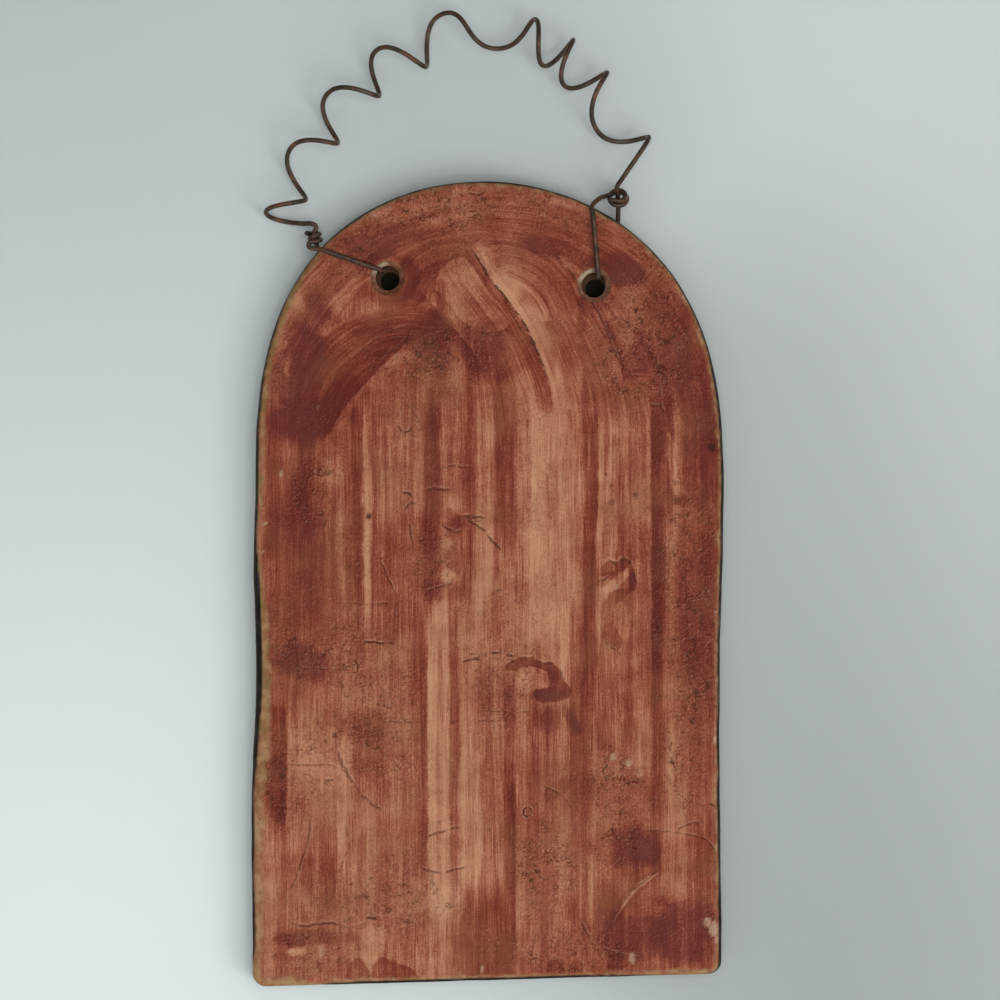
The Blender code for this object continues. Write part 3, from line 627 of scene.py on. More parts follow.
class Shell:
    """Points, faces and how each point is painted, gathered part by part."""

    def __init__(self):
        self.points, self.inset, self.count, self.faces = [], [], 0, []

    def add_points(self, points, inset):
        """Take a block of points; inset is how far each stands in from the slab's rim."""
        flat = points.reshape(-1, 3)
        numbers = np.arange(self.count, self.count + len(flat)).reshape(points.shape[:-1])
        self.points.append(flat)
        self.inset.append(np.broadcast_to(inset, numbers.shape).ravel())
        self.count += len(flat)
        return numbers

    def add_grid(self, numbers, cells, half, towards_front):
        """Faces of a grid, left open over a block of cells round each hole's own."""
        keep = np.ones((numbers.shape[0] - 1, numbers.shape[1] - 1), bool)
        for i, j in cells:
            keep[i - half:i + half, j - half:j + half] = False
        corners = [numbers[:-1, :-1], numbers[1:, :-1], numbers[1:, 1:], numbers[:-1, 1:]]
        quads = np.stack([corner[keep] for corner in corners], axis=1)
        self.faces.append(quads if towards_front else quads[:, ::-1])

    def carry(self, near, points, inset):
        """Carry a closed ring on to new points with a strip of faces; gives the points' numbers."""
        far = self.add_points(points, inset)
        self.faces.append(np.stack([near, far, np.roll(far, -1), np.roll(near, -1)], axis=1))
        return far

    def add_halving(self, near, far):
        """Faces between a closed ring and one of half its count, three for each far edge."""
        first, middle, last = near[::2], near[1::2], np.roll(near[::2], -1)
        onward = np.roll(far, -1)
        for trio in ((first, far, middle), (far, onward, middle), (onward, last, middle)):
            self.faces.append(np.stack(trio, axis=1))


def block_ring(numbers, low_i, high_i, low_j, high_j):
    """The numbers round a block of a grid, anticlockwise from its lower left."""
    return np.concatenate([numbers[low_i:high_i, low_j], numbers[high_i, low_j:high_j],
                           numbers[high_i:low_i:-1, high_j], numbers[low_i, high_j:low_j:-1]])


def sweep_share(x, z, column, row, radius, half, first, last):
    """How far inside a curved sweep each place is, and how far it lies from and round its centre.

    The share is 1 within the sweep and 0 outside it, with a ragged end.
    """
    centre, radius, half = on_face(column, row), in_mm(radius), in_mm(half)
    across, up = x - centre[0], z - centre[1]
    far, angle = np.hypot(across, up), np.arctan2(up, across)
    turn = np.degrees(angle) % 360
    ragged = 5.0 * cloud(far / 2.2, turn / 60, 31)
    side = ease(half + 0.4, half - 0.4, np.abs(far - radius + 1.2 * cloud(turn / 12, far / 90, 32)))
    ends = ease(first - 3, first + 3, turn + ragged) * ease(last + 3, last - 3, turn + ragged)
    return side * ends, far, angle * radius


def flow_of(x, z):
    """Where each place lies across and along the brush strokes.

    Low down the strokes run upright.  Right of the middle they lean over as the leaning
    edge does, and inside a sweep they run round its centre.  Each run is set apart across
    from the others, so that no streak carries on from one into the next.
    """
    edge = spline_through(line_on_face(LEANING_EDGE), 4)
    lean = np.interp(-z, -edge[:, 1], edge[:, 0] - edge[-1, 0])
    across = x - lean * ease(edge[0, 0] - 4, edge[0, 0] + 14, x)
    along = z.copy()
    for number, (*shape, _) in enumerate(SWEEPS):
        inside, far, run = sweep_share(x, z, *shape)
        across = np.where(inside > 0.5, far + SWEEP_APART * number, across)
        along = np.where(inside > 0.5, run, along)
    far, share = offset_from(x, z, edge)
    beside = (far > -4.5) & (far < 13) & (share > 0.01) & (share < 0.97)
    return np.where(beside, far + EDGE_APART, across), np.where(beside, share * 62.0, along)


def calm_of(x, z):
    """1 where the strokes run evenly, 0 within a millimetre of a jump between two runs of them."""
    across, along = flow_of(x, z)
    jump = np.zeros(x.shape)
    for step_x, step_z in ((1, 0), (-1, 0), (0, 1), (0, -1)):
        next_across, next_along = flow_of(x + step_x, z + step_z)
        jump = np.maximum(jump, np.hypot(next_across - across, next_along - along))
    return ease(7.0, 4.0, jump)


def wash_over(x, z):
    """How thick the red wash lies, and how plum it is, at each place of the face.

    A middling wash is deepened or thinned by streaks, upright bands, soft stains and curved
    sweeps in turn; each is its amount times a smooth share of how far inside it a place is.
    """
    across, along = flow_of(x, z)
    wash = 0.53 + 0.10 * cloud(across / 5.5, along / 90, 1) + 0.09 * cloud(across / 2.1, along / 45, 2)
    wash += 0.10 * cloud(x / 26, z / 34, 3) + 0.07 * cloud(x / 9, z / 12, 4)
    wash += 0.05 * cloud(x / 3.4, z / 4.2, 5)
    plum = 0.15 + 0.25 * cloud(x / 18, z / 22, 6)
    for left, right, top, foot, amount, soft in BANDS:
        (left, top), (right, foot), soft = on_face(left, top), on_face(right, foot), in_mm(soft)
        ragged = 0.7 * cloud(z / 16, x / 50 + left, 7) + 0.25 * cloud(z / 4, x / 50 + left, 8)
        end = 7.0 * cloud(x / 2.2, z / 60, 9)
        inside = ease(left - soft, left + soft, x + ragged) * ease(right + soft, right - soft, x + ragged)
        wash += amount * inside * ease(foot - 8, foot + 8, z + end) * ease(top + 8, top - 8, z + end)
    for column, row, half_across, half_up, turn, amount, depth in STAINS:
        sizes = in_mm(half_across), in_mm(half_up), round(math.radians(-turn), 2)
        far = oval(x, z, on_face(column, row), *sizes) + 0.22 * cloud(x / 5, z / 5, 10)
        inside = ease(1.25, 0.55, far + 0.10 * cloud(x / 1.7, z / 1.7, 11))
        wash += amount * inside
        plum += depth * inside
    for *shape, amount in SWEEPS:
        wash += amount * sweep_share(x, z, *shape)[0]
    return wash, np.clip(plum, 0.0, 1.2)


def end_fade(share):
    """1 along a line, falling to 0 at both of its ends."""
    return ease(0.0, 0.12, share) * ease(1.0, 0.88, share)


def edges_over(x, z, layer):
    """For a layer's nearest edge: how far off it is, and the wash that each of its sides adds.

    Inside a closed edge that edge counts, the one whose rim lies furthest if several do.  The
    offset is positive on the first side.  Each side's wash falls to nothing at its reach,
    and at the ends of an open edge, so the change between two edges never shows.
    """
    offset, best = np.zeros(x.shape), np.full(x.shape, -9.0)
    sides = np.zeros((2,) + x.shape)
    for first, first_reach, second, second_reach, closed, pixels in layer:
        points = line_on_face(pixels)
        line = spline_through(points + points[:1] if closed else points, 6)
        far, share = offset_from(x, z, line)
        if closed:
            score = far = np.where(inside_of(x, z, line), np.abs(far), -np.abs(far))
            ends = 1.0
        else:
            score = -np.abs(far)
            ends = end_fade(share)
        closer = score > best
        best, offset = np.maximum(score, best), np.where(closer, far, offset)
        for side, amount, reach in ((0, first, first_reach), (1, second, second_reach)):
            more = amount * ends * ease(reach, 0.15 * reach, np.abs(far))
            sides[side] = np.where(closer, more, sides[side])
    return np.stack([np.clip(offset, -4, 4), *sides], axis=1)


def grain_over(x, z):
    """How grainy each place is: a thin grain all over, and more in the grainy places."""
    grain = 0.12 + 0.30 * cloud(x / 14, z / 14, 12)
    for column, row, *sizes in GRAINY:
        far = oval(x, z, on_face(column, row), *[in_mm(size) for size in sizes], 0.0)
        grain += 0.6 * ease(1.3, 0.5, far + 0.25 * cloud(x / 6, z / 6, 13))
    return np.clip(grain, 0.0, 1.0)


def marks_over(x, z):
    """For the nearest crease at each place: how far off it is in its half widths, and its strength.

    The strength fades out well before the middle between two creases, so that the change
    from one to the next never shows.
    """
    nearest = np.full(x.shape, 1e3)
    side, strength = np.zeros(x.shape), np.zeros(x.shape)
    for half, depth, pixels in MARKS:
        line = line_on_face(pixels)
        far, share = offset_from(x, z, spline_through(line, 4) if len(line) > 2 else line)
        closer = np.abs(far) < nearest
        nearest = np.where(closer, np.abs(far), nearest)
        side = np.where(closer, far / half, side)
        strength = np.where(closer, depth * end_fade(share) * ease(2.2, 1.2, np.abs(far)), strength)
    return np.clip(side, -6, 6), strength


def spots_over(x, z, spots, soft):
    """The strongest of a list of oval spots at each place."""
    most = np.zeros(x.shape)
    for column, row, half_across, half_up, depth in spots:
        far = oval(x, z, on_face(column, row), half_across, half_up, 0.0) + 0.25 * cloud(x / 0.9, z / 0.9, 14)
        most = np.maximum(most, depth * ease(1 + soft, 1 - soft, far))
    return most


def face_relief(x, z, inset):
    """How far the face stands out: broad waves and the pressed hollows, level at its rim.

    A hollow is its depth times 1 - q^2, where q is the distance in its half sizes.
    """
    relief = 0.16 * cloud(x / 30, z / 36, 21) + 0.08 * cloud(x / 11, z / 13, 22)
    relief += 0.03 * cloud(x / 3, z / 9, 23)
    for across, up, half_across, half_up, depth, turn in HOLLOWS:
        far = oval(x, z, (across, up), half_across, half_up, -turn) + 0.12 * cloud(x / 4, z / 4, 24)
        relief -= depth * np.clip(1 - far ** 2, 0.0, 1.0)
    for column, row, half_across, half_up, turn in OVALS:
        far = oval(x, z, on_face(column, row), half_across, half_up, math.radians(turn))
        relief += 0.14 * ease(1.3, 0.8, far) - 0.18 * ease(0.8, 0.3, far)
    return relief * ease(0.0, 4.0, inset)


def build_slab_shell():
    """The slab as one closed shell: washed face, rounded edge, plain back and two holes."""
    ring = np.vstack([side[:-1] for side in four_sides(slab_outline())])
    way_in = inward(ring)
    patch = even_patch(ring + way_in * EDGE_ROUNDING)
    holes = [np.array(LEFT_HOLE), np.array(RIGHT_HOLE)]
    cells = [hole_cell(patch, hole) for hole in holes]
    half = SLAB_THICKNESS / 2
    shell = Shell()

    front, back = patch, patch
    for hole, cell in zip(holes, cells):
        front = round_hole(front, hole, cell, FRONT_RIM_DIAMETER / 2)
        back = round_hole(back, hole, cell, BACK_RIM_DIAMETER / 2)
    x, z = front[..., 0], front[..., 1]
    inset = np.abs(offset_from(x.ravel(), z.ravel(), np.vstack([ring[::4], ring[:1]]))[0]).reshape(x.shape)
    relief = face_relief(x, z, inset - EDGE_ROUNDING)
    front_numbers = shell.add_points(lifted(front, -half - relief), inset)
    shell.add_grid(front_numbers, cells, HOLE_CELLS, True)
    back = back[::2, ::2]
    depth = half - BACK_WAVE + BACK_WAVE * cloud(back[..., 0] / 22, back[..., 1] / 26, 26)
    back_numbers = shell.add_points(lifted(back, depth), BACK_INSET)
    shell.add_grid(back_numbers, [cell // 2 for cell in cells], HOLE_CELLS // 2, False)

    near = block_ring(front_numbers, 0, CELLS_ACROSS, 0, CELLS_UP)
    edge_wander = 0.10 * cloud(ring[:, 0] / 7, ring[:, 1] / 7, 25)
    curve = [(EDGE_ROUNDING * (1 - math.sin(turn)), EDGE_ROUNDING * (1 - math.cos(turn)))
             for turn in np.radians(EDGE_TURNS)]
    steps = [(step_in, rise - half, step_in) for step_in, rise in curve] + [(0.0, 0.0, EDGE_INSET)]
    steps += [(step_in, half - rise, REAR_EDGE_INSET) for step_in, rise in curve[::-2]]
    for step_in, y, painted in steps:
        place = ring + way_in * (step_in + edge_wander * ease(EDGE_ROUNDING, 0.0, step_in))[:, None]
        near = shell.carry(near, lifted(place, y), painted)
    shell.add_halving(near, block_ring(back_numbers, 0, CELLS_ACROSS // 2, 0, CELLS_UP // 2))

    bore = HOLE_DIAMETER / 2
    front_rim, back_rim = FRONT_RIM_DIAMETER / 2 - bore, BACK_RIM_DIAMETER / 2 - bore
    front_slope, back_slope = front_rim / math.tan(RIM_ANGLE), back_rim / math.tan(RIM_ANGLE)
    profile = [(bore + (1 - share) * front_rim, -half + share * front_slope)
               for share in (0.12, 0.5, 0.85, 1.0)]
    profile += [(bore, y) for y in (-half + front_slope + 0.6, -1.0, 1.0, half - back_slope)]
    profile += [(bore + 0.7 * back_rim, half - 0.3 * back_slope)]
    for hole, (i, j) in zip(holes, cells):
        block = (i - HOLE_CELLS, i + HOLE_CELLS, j - HOLE_CELLS, j + HOLE_CELLS)
        near = block_ring(front_numbers, *block)[::-1]
        way = unit(front.reshape(-1, 2)[near] - hole)
        for radius, y in profile:
            rough = radius + 0.12 * cloud(way[:, 0] * 2 + 9, way[:, 1] * 2 + y / 2, 27)
            near = shell.carry(near, lifted(hole + way * rough[:, None], y), BORE_INSET - (y + half))
        shell.add_halving(near, block_ring(back_numbers, *[cell // 2 for cell in block])[::-1])
    return shell


def glaze_width(x, z):
    """How wide the dark band shows round the face: broad on the left, thin at the top and foot."""
    left = ease(-62, -74, x)
    right = ease(62, 72, x)
    foot = ease(8, 2, z)
    width = 0.55 + left * (0.35 + 1.25 * ease(150, 130, z) * ease(60, 95, z)) + 0.40 * right + 0.40 * foot
    width -= 1.4 * foot * (ease(-50, -62, x) + ease(40, 60, x)) + 1.0 * ease(14, 4, z) * left
    return width + 0.25 * cloud(x / 9, z / 9, 15) + 0.12 * cloud(x / 2, z / 2, 16)


def paint_slab(mesh, places, inset):
    """Store on each point what the clay's material reads."""
    x, z = places[:, 0], places[:, 2]
    face = inset > -0.5
    bore = inset < BORE_INSET / 2
    back = ~face & ~bore & (inset < BACK_INSET / 2)
    wash, plum = wash_over(x, z)
    side, strength = marks_over(x, z)
    across, along = flow_of(x, z)
    hole_x, hole_z = [np.where(x < 0, *pair) for pair in zip(LEFT_HOLE, RIGHT_HOLE)]
    rim = np.hypot(x - hole_x, z - hole_z)
    facing = np.cos(np.arctan2(z - hole_z, x - hole_x) - BORE_LIT_BEARING)
    worn_ring = ease(6.7, 6.1, rim) * ease(5.2, 5.8, rim)
    wash += (0.14 * ease(10.5, 7.6, rim) - 0.16 * worn_ring) * face
    band = glaze_width(x, z)
    margin = 0.8 + 3.3 * ease(-58, -66, x) * ease(135, 110, z) * (0.75 + 0.35 * cloud(x / 20, z / 14, 17))
    margin += 1.2 * ease(-50, -60, x) * ease(140, 190, z)
    margin += 1.3 * ease(9, 4, z) * (ease(-50, -66, x) + ease(40, 62, x))
    ragged = 0.6 * cloud(x / 3, z / 3, 18) + 0.3 * cloud(x / 1.2, z / 1.2, 19)
    # Painted light: the bore is paler on its side facing the bearing, where light falls in
    cream = np.where(x < 0, 0.7 * ease(0.6, 0.98, facing), 0.06 + 0.6 * ease(0.62, 0.98, facing))
    fields = {
        "wash": wash,
        "plum": plum,
        "grain": grain_over(x, z) * face,
        "crease_offset": side,
        "crease": strength * face,
        "pit": spots_over(x, z, [(*place, size, size, depth) for *place, size, depth in PITS], 0.35) * face,
        "chip": spots_over(x, z, [(*chip, 1.0) for chip in CHIPS], 0.25) * face,
        "glaze": np.where(face, ease(band + 0.2, band - 0.2, inset), ~bore),
        "bare": np.where(face, 0.85 * ease(margin + 0.6, margin - 0.6, inset - band + ragged), 0.0),
        "back": back,
        "calm": calm_of(x, z),
        "gloss": ease(1.1, 0.5, oval(x, z, *GLOSSY_PATCH)) * face,
        "rim_olive": ease(-40, -74, x) * ease(60, 90, z),
        "cream": np.where(bore, cream * ease(BORE_INSET - 0.1, BORE_INSET - 0.7, inset), 0.0),
        # Painted shade: the bore darkens the deeper into the slab it goes
        "depth": np.where(bore, ease(BORE_INSET - 1.6, BORE_INSET - 4.0, inset), 0.0),
        "bevel": bore,
    }
    for name, values in fields.items():
        layer = mesh.attributes.new(name, "FLOAT", "POINT")
        layer.data.foreach_set("value", np.ascontiguousarray(values, np.float32))
    vectors = {"stroke": np.stack([across, along, 0 * across], axis=1)}
    for number, layer in enumerate(EDGES):
        vectors[f"edge_{number}"] = edges_over(x, z, layer) * face[:, None]
    for name, values in vectors.items():
        layer = mesh.attributes.new(name, "FLOAT_VECTOR", "POINT")
        layer.data.foreach_set("vector", values.ravel().astype(np.float32))


def mesh_from(name, points, faces):
    """A mesh object at the origin from points in millimetres and arrays of faces."""
    used = np.unique(np.concatenate([part.ravel() for part in faces]))
    loops = np.concatenate([np.searchsorted(used, part).ravel() for part in faces])
    sizes = np.concatenate([np.full(len(part), part.shape[1]) for part in faces])
    mesh = bpy.data.meshes.new(name)
    mesh.vertices.add(len(used))
    mesh.vertices.foreach_set("co", (points[used] * MM).ravel().astype(np.float32))
    mesh.loops.add(len(loops))
    mesh.loops.foreach_set("vertex_index", loops.astype(np.int32))
    mesh.polygons.add(len(sizes))
    mesh.polygons.foreach_set("loop_start", np.concatenate([[0], np.cumsum(sizes)[:-1]]).astype(np.int32))
    mesh.update(calc_edges=True)
    mesh.validate()
    mesh.shade_smooth()
    piece = bpy.data.objects.new(name, mesh)
    bpy.context.scene.collection.objects.link(piece)
    return piece, used


def frame_shift():
    """From the slab's own places to the frame's: its box is set against the outline's."""
    low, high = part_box("clay_slab")
    outline = slab_outline()
    return np.array([low[0] / MM - outline[:, 0].min(), (low[1] + high[1]) / 2 / MM,
                     low[2] / MM - outline[:, 1].min()])


def edge_crossing(outline, start, angle):
    """Where a line from start leaves the outline, and how squarely it crosses.

    Each edge gives how far along itself and along the line they meet; the nearest meeting
    within the edge and ahead on the line counts.
    """
    way = np.array([math.cos(angle), math.sin(angle)])
    run = np.roll(outline, -1, axis=0) - outline
    gap = outline - start
    cross = way[0] * run[:, 1] - way[1] * run[:, 0]
    cross = np.where(np.abs(cross) < 1e-12, 1e-12, cross)
    ahead = (gap[:, 0] * run[:, 1] - gap[:, 1] * run[:, 0]) / cross
    share = (gap[:, 0] * way[1] - gap[:, 1] * way[0]) / cross
    ahead = np.where((share >= 0) & (share <= 1) & (ahead > 0), ahead, np.inf)
    hit = int(ahead.argmin())
    run_way = run[hit] / np.linalg.norm(run[hit])
    return start + way * ahead[hit], abs(way[0] * run_way[1] - way[1] * run_way[0])


def bearing_point(hole, bearing):
    """Where the wire runs through a hole, off centre on the side that it bears on."""
    off_centre = HOLE_DIAMETER / 2 * math.cos(math.pi / HOLE_SIDES) - CLAY_GAP - WIRE_DIAMETER / 2
    return np.array(hole) + off_centre * np.array([math.cos(bearing), math.sin(bearing)])


def face_bend(inside, angle, side):
    """A quarter circle from along a face to along the hole; side is -1 in front, 1 behind."""
    turn = np.radians([0, 30, 60, 90])
    places = inside + np.outer(BEND_RADIUS * (1 - np.sin(turn)), (math.cos(angle), math.sin(angle)))
    return lifted(places, side * (FACE_LIFT - BEND_RADIUS * (1 - np.cos(turn))))


def leg_marks(outline, inside, angle, side):
    """A leg from the slab's rounded edge, over a face, to half way to its hole."""
    edge, squareness = edge_crossing(outline, inside, angle)
    reach = EDGE_ROUNDING + CLAY_GAP + WIRE_DIAMETER / 2
    turn = np.radians([45, 90])
    places = edge + np.outer((reach * np.cos(turn) - EDGE_ROUNDING) / squareness, unit(edge - inside))
    depth = side * (SLAB_THICKNESS / 2 - EDGE_ROUNDING + reach * np.sin(turn))
    return np.vstack([lifted(places, depth), lifted((edge + inside) / 2, side * FACE_LIFT)])


def knot_wraps(foot, way):
    """The left knot's wraps from their tail down: a helix round the standing part."""
    across = np.array([way[2], 0.0, -way[0]])
    front = np.array([0.0, -1.0, 0.0])
    share = np.arange(round(KNOT_TURNS * TURN_STEPS), -1, -1)[:, None] / TURN_STEPS
    turn = 2 * math.pi * share
    out = across * np.sin(turn) + front * np.cos(turn)
    marks = foot + way * KNOT_PITCH * share + out * (WIRE_DIAMETER + WRAP_GAP)
    tip = marks[0] + unit(marks[0] - marks[1]) * KNOT_TAIL_LENGTH
    return np.vstack([tip, marks, foot + np.array(KNOT_TURNBACK)])


def coil_ring(centre):
    """The right coil: a tightening spiral that steps forwards by a wire and a gap a turn."""
    across = np.array([1.0, 0.0, 0.0])
    up = np.array([0.0, math.sin(COIL_TILT), math.cos(COIL_TILT)])
    forwards = np.array([0.0, -math.cos(COIL_TILT), math.sin(COIL_TILT)])
    share = np.arange(round(COIL_TURNS * TURN_STEPS) + 1)[:, None] / TURN_STEPS
    turn = COIL_START - 2 * math.pi * share
    radius = COIL_RADIUS - COIL_TIGHTENING * share
    marks = centre + forwards * (WIRE_DIAMETER + WRAP_GAP) * (share - COIL_TURNS / 2)
    marks = marks + radius * (across * np.cos(turn) + up * np.sin(turn))
    return np.vstack([marks, marks[-1] + unit(marks[-1] - marks[-2]) * COIL_TAIL_LENGTH])


def curl_points(start, end, entry):
    """The pulled-out coil from the knot's crown to just above the right coil.

    Between turning points it is a cubic whose pull at each end is the line between the
    neighbours times that point's roundness; its depth swings behind and in front by turns.
    """
    across, up, roundness = np.array(CURL_TURNS).T[:, :, None]
    turns = start + (end - start) * across + np.array([0.0, 0.0, CURL_RISE]) * up
    turns = np.vstack([start, turns, entry])
    pulls = (turns[2:] - turns[:-2]) * roundness
    pulls = np.vstack([[-KNOT_EXIT_PULL, 0.0, 0.0], pulls, turns[-1] - turns[-2]])[:, None]
    share = (np.arange(CURL_STEPS) / CURL_STEPS)[:, None]
    marks = hermite(turns[:-1, None], pulls[:-1], turns[1:, None], pulls[1:], share).reshape(-1, 3)
    marks[:, 1] += CURL_DEPTH * np.sin(math.pi * np.arange(len(marks)) / CURL_STEPS)
    return np.vstack([marks, entry, end])


def wire_path():
    """The wire's centre line from the left knot's tail to the right coil's tail."""
    outline = slab_outline()
    left_inside = bearing_point(LEFT_HOLE, LEFT_BEARING)
    right_inside = bearing_point(RIGHT_HOLE, RIGHT_BEARING)
    edge, _ = edge_crossing(outline, left_inside, LEFT_LEG_ANGLE)
    way = np.array([math.cos(KNOT_LEAN), 0.0, math.sin(KNOT_LEAN)])
    foot = np.array([edge[0] + KNOT_SHIFT, 0.0, edge[1]]) + way * KNOT_STANDOFF
    top = foot + way * KNOT_PITCH * KNOT_TURNS
    crown = top + np.array([(KNOT_CROWN_WIDTH * a, 0.0, KNOT_CROWN_HEIGHT * b) for a, b in KNOT_CROWN])
    edge, _ = edge_crossing(outline, right_inside, RIGHT_BACK_LEG_ANGLE)
    centre = np.array([edge[0], 0.0, edge[1] + COIL_STANDOFF])
    marks = np.vstack([
        knot_wraps(foot, way),
        leg_marks(outline, left_inside, LEFT_LEG_ANGLE, -1),
        face_bend(left_inside, LEFT_LEG_ANGLE, -1),
        face_bend(left_inside, LEFT_LEG_ANGLE, 1)[::-1],
        leg_marks(outline, left_inside, LEFT_LEG_ANGLE, 1)[::-1],
        foot, top, crown[:-1],
        curl_points(crown[-1], centre, centre + np.array(COIL_ENTRY)),
        leg_marks(outline, right_inside, RIGHT_BACK_LEG_ANGLE, 1),
        face_bend(right_inside, RIGHT_BACK_LEG_ANGLE, 1),
        face_bend(right_inside, RIGHT_FRONT_LEG_ANGLE, -1)[::-1],
        leg_marks(outline, right_inside, RIGHT_FRONT_LEG_ANGLE, -1)[::-1],
        centre + np.array(COIL_APPROACH),
        coil_ring(centre),
    ])
    line = spline_through(marks, 12)
    length = np.linalg.norm(np.diff(line, axis=0), axis=1).sum()
    return spaced(line, round(length / WIRE_STEP))


def level_sides(path):
    """Two directions square to a path at each point that turn with it and never twist.

    Each point first gets any square direction.  The one before it, carried over the bend,
    stands at some angle to it, and the running sum of those angles undoes the difference.
    """
    way = unit(np.gradient(path, axis=0))
    first = unit(np.cross(way, np.eye(3)[np.abs(way).argmin(axis=1)]))
    second = np.cross(way, first)
    axis = np.cross(way[:-1], way[1:])
    cosine = (way[:-1] * way[1:]).sum(axis=1)[:, None]
    turned = np.cross(axis, first[:-1])
    carried = first[:-1] * cosine + turned + axis * (axis * first[:-1]).sum(axis=1)[:, None] / (1 + cosine)
    twist = np.arctan2((carried * second[1:]).sum(axis=1), (carried * first[1:]).sum(axis=1))
    roll = np.concatenate([[0.0], np.cumsum(twist)])[:, None]
    return first * np.cos(roll) + second * np.sin(roll), second * np.cos(roll) - first * np.sin(roll)


def build_wire_shell(path):
    """A round tube along the path: each ring is a circle in the path's two side directions.

    The ends are rounded off over one radius: the ring's radius falls as the square root of
    1 - q^2, and a small flat closes each tip.
    """
    across, up = level_sides(path)
    run = np.arange(len(path)) * WIRE_STEP
    radius = WIRE_DIAMETER / 2
    share = np.clip(1 - (np.minimum(run, run[-1] - run) + 0.08) / radius, 0.0, 1.0)
    turn = 2 * math.pi * np.arange(WIRE_SIDES) / WIRE_SIDES
    size = radius * np.sqrt(1 - share ** 2)[:, None] * np.ones(WIRE_SIDES)
    size *= 1 + 0.025 * cloud(run[:, None] / 2.6, np.cos(turn)[None] + 3, 41)
    rings = (path[:, None] + across[:, None] * (size * np.cos(turn))[:, :, None]
             + up[:, None] * (size * np.sin(turn))[:, :, None])
    numbers = np.arange(rings.shape[0] * WIRE_SIDES).reshape(-1, WIRE_SIDES)
    onward = np.roll(numbers, -1, axis=1)
    quads = np.stack([numbers[:-1], onward[:-1], onward[1:], numbers[1:]], axis=-1).reshape(-1, 4)
    return rings.reshape(-1, 3), [quads, numbers[:1, ::-1], numbers[-1:]]


class Value:
    """A number that a material works out; sums and products of it make nodes when they are used."""

    def __init__(self, nodes, socket=None, operation="", parts=()):
        self.nodes, self.made, self.operation, self.parts = nodes, socket, operation, parts

    @property
    def socket(self):
        """Where the number comes out."""
        if self.made is None:
            node = self.nodes.add("ShaderNodeMath", dict(enumerate(self.parts)), operation=self.operation)
            self.made = node.outputs[0]
        return self.made

    def math(self, operation, *others):
        """The outcome of one step of arithmetic."""
        return Value(self.nodes, None, operation, (self, *others))

    def __add__(self, other):
        """A product and a sum that follow each other are one node."""
        for product, rest in ((self, other), (other, self)):
            if getattr(product, "operation", "") == "MULTIPLY" and product.made is None:
                return Value(self.nodes, None, "MULTIPLY_ADD", (*product.parts, rest))
        return self.math("ADD", other)

    def __sub__(self, other):
        return self.math("SUBTRACT", other)

    def __mul__(self, other):
        return self.math("MULTIPLY", other)

    def __abs__(self):
        return self.math("ABSOLUTE")

    def clamped(self):
        """Kept from 0 to 1."""
        self.socket.node.use_clamp = True
        return self


def largest(first, *others):
    """The largest of several numbers of a material."""
    for other in others:
        first = first.math("MAXIMUM", other)
    return first


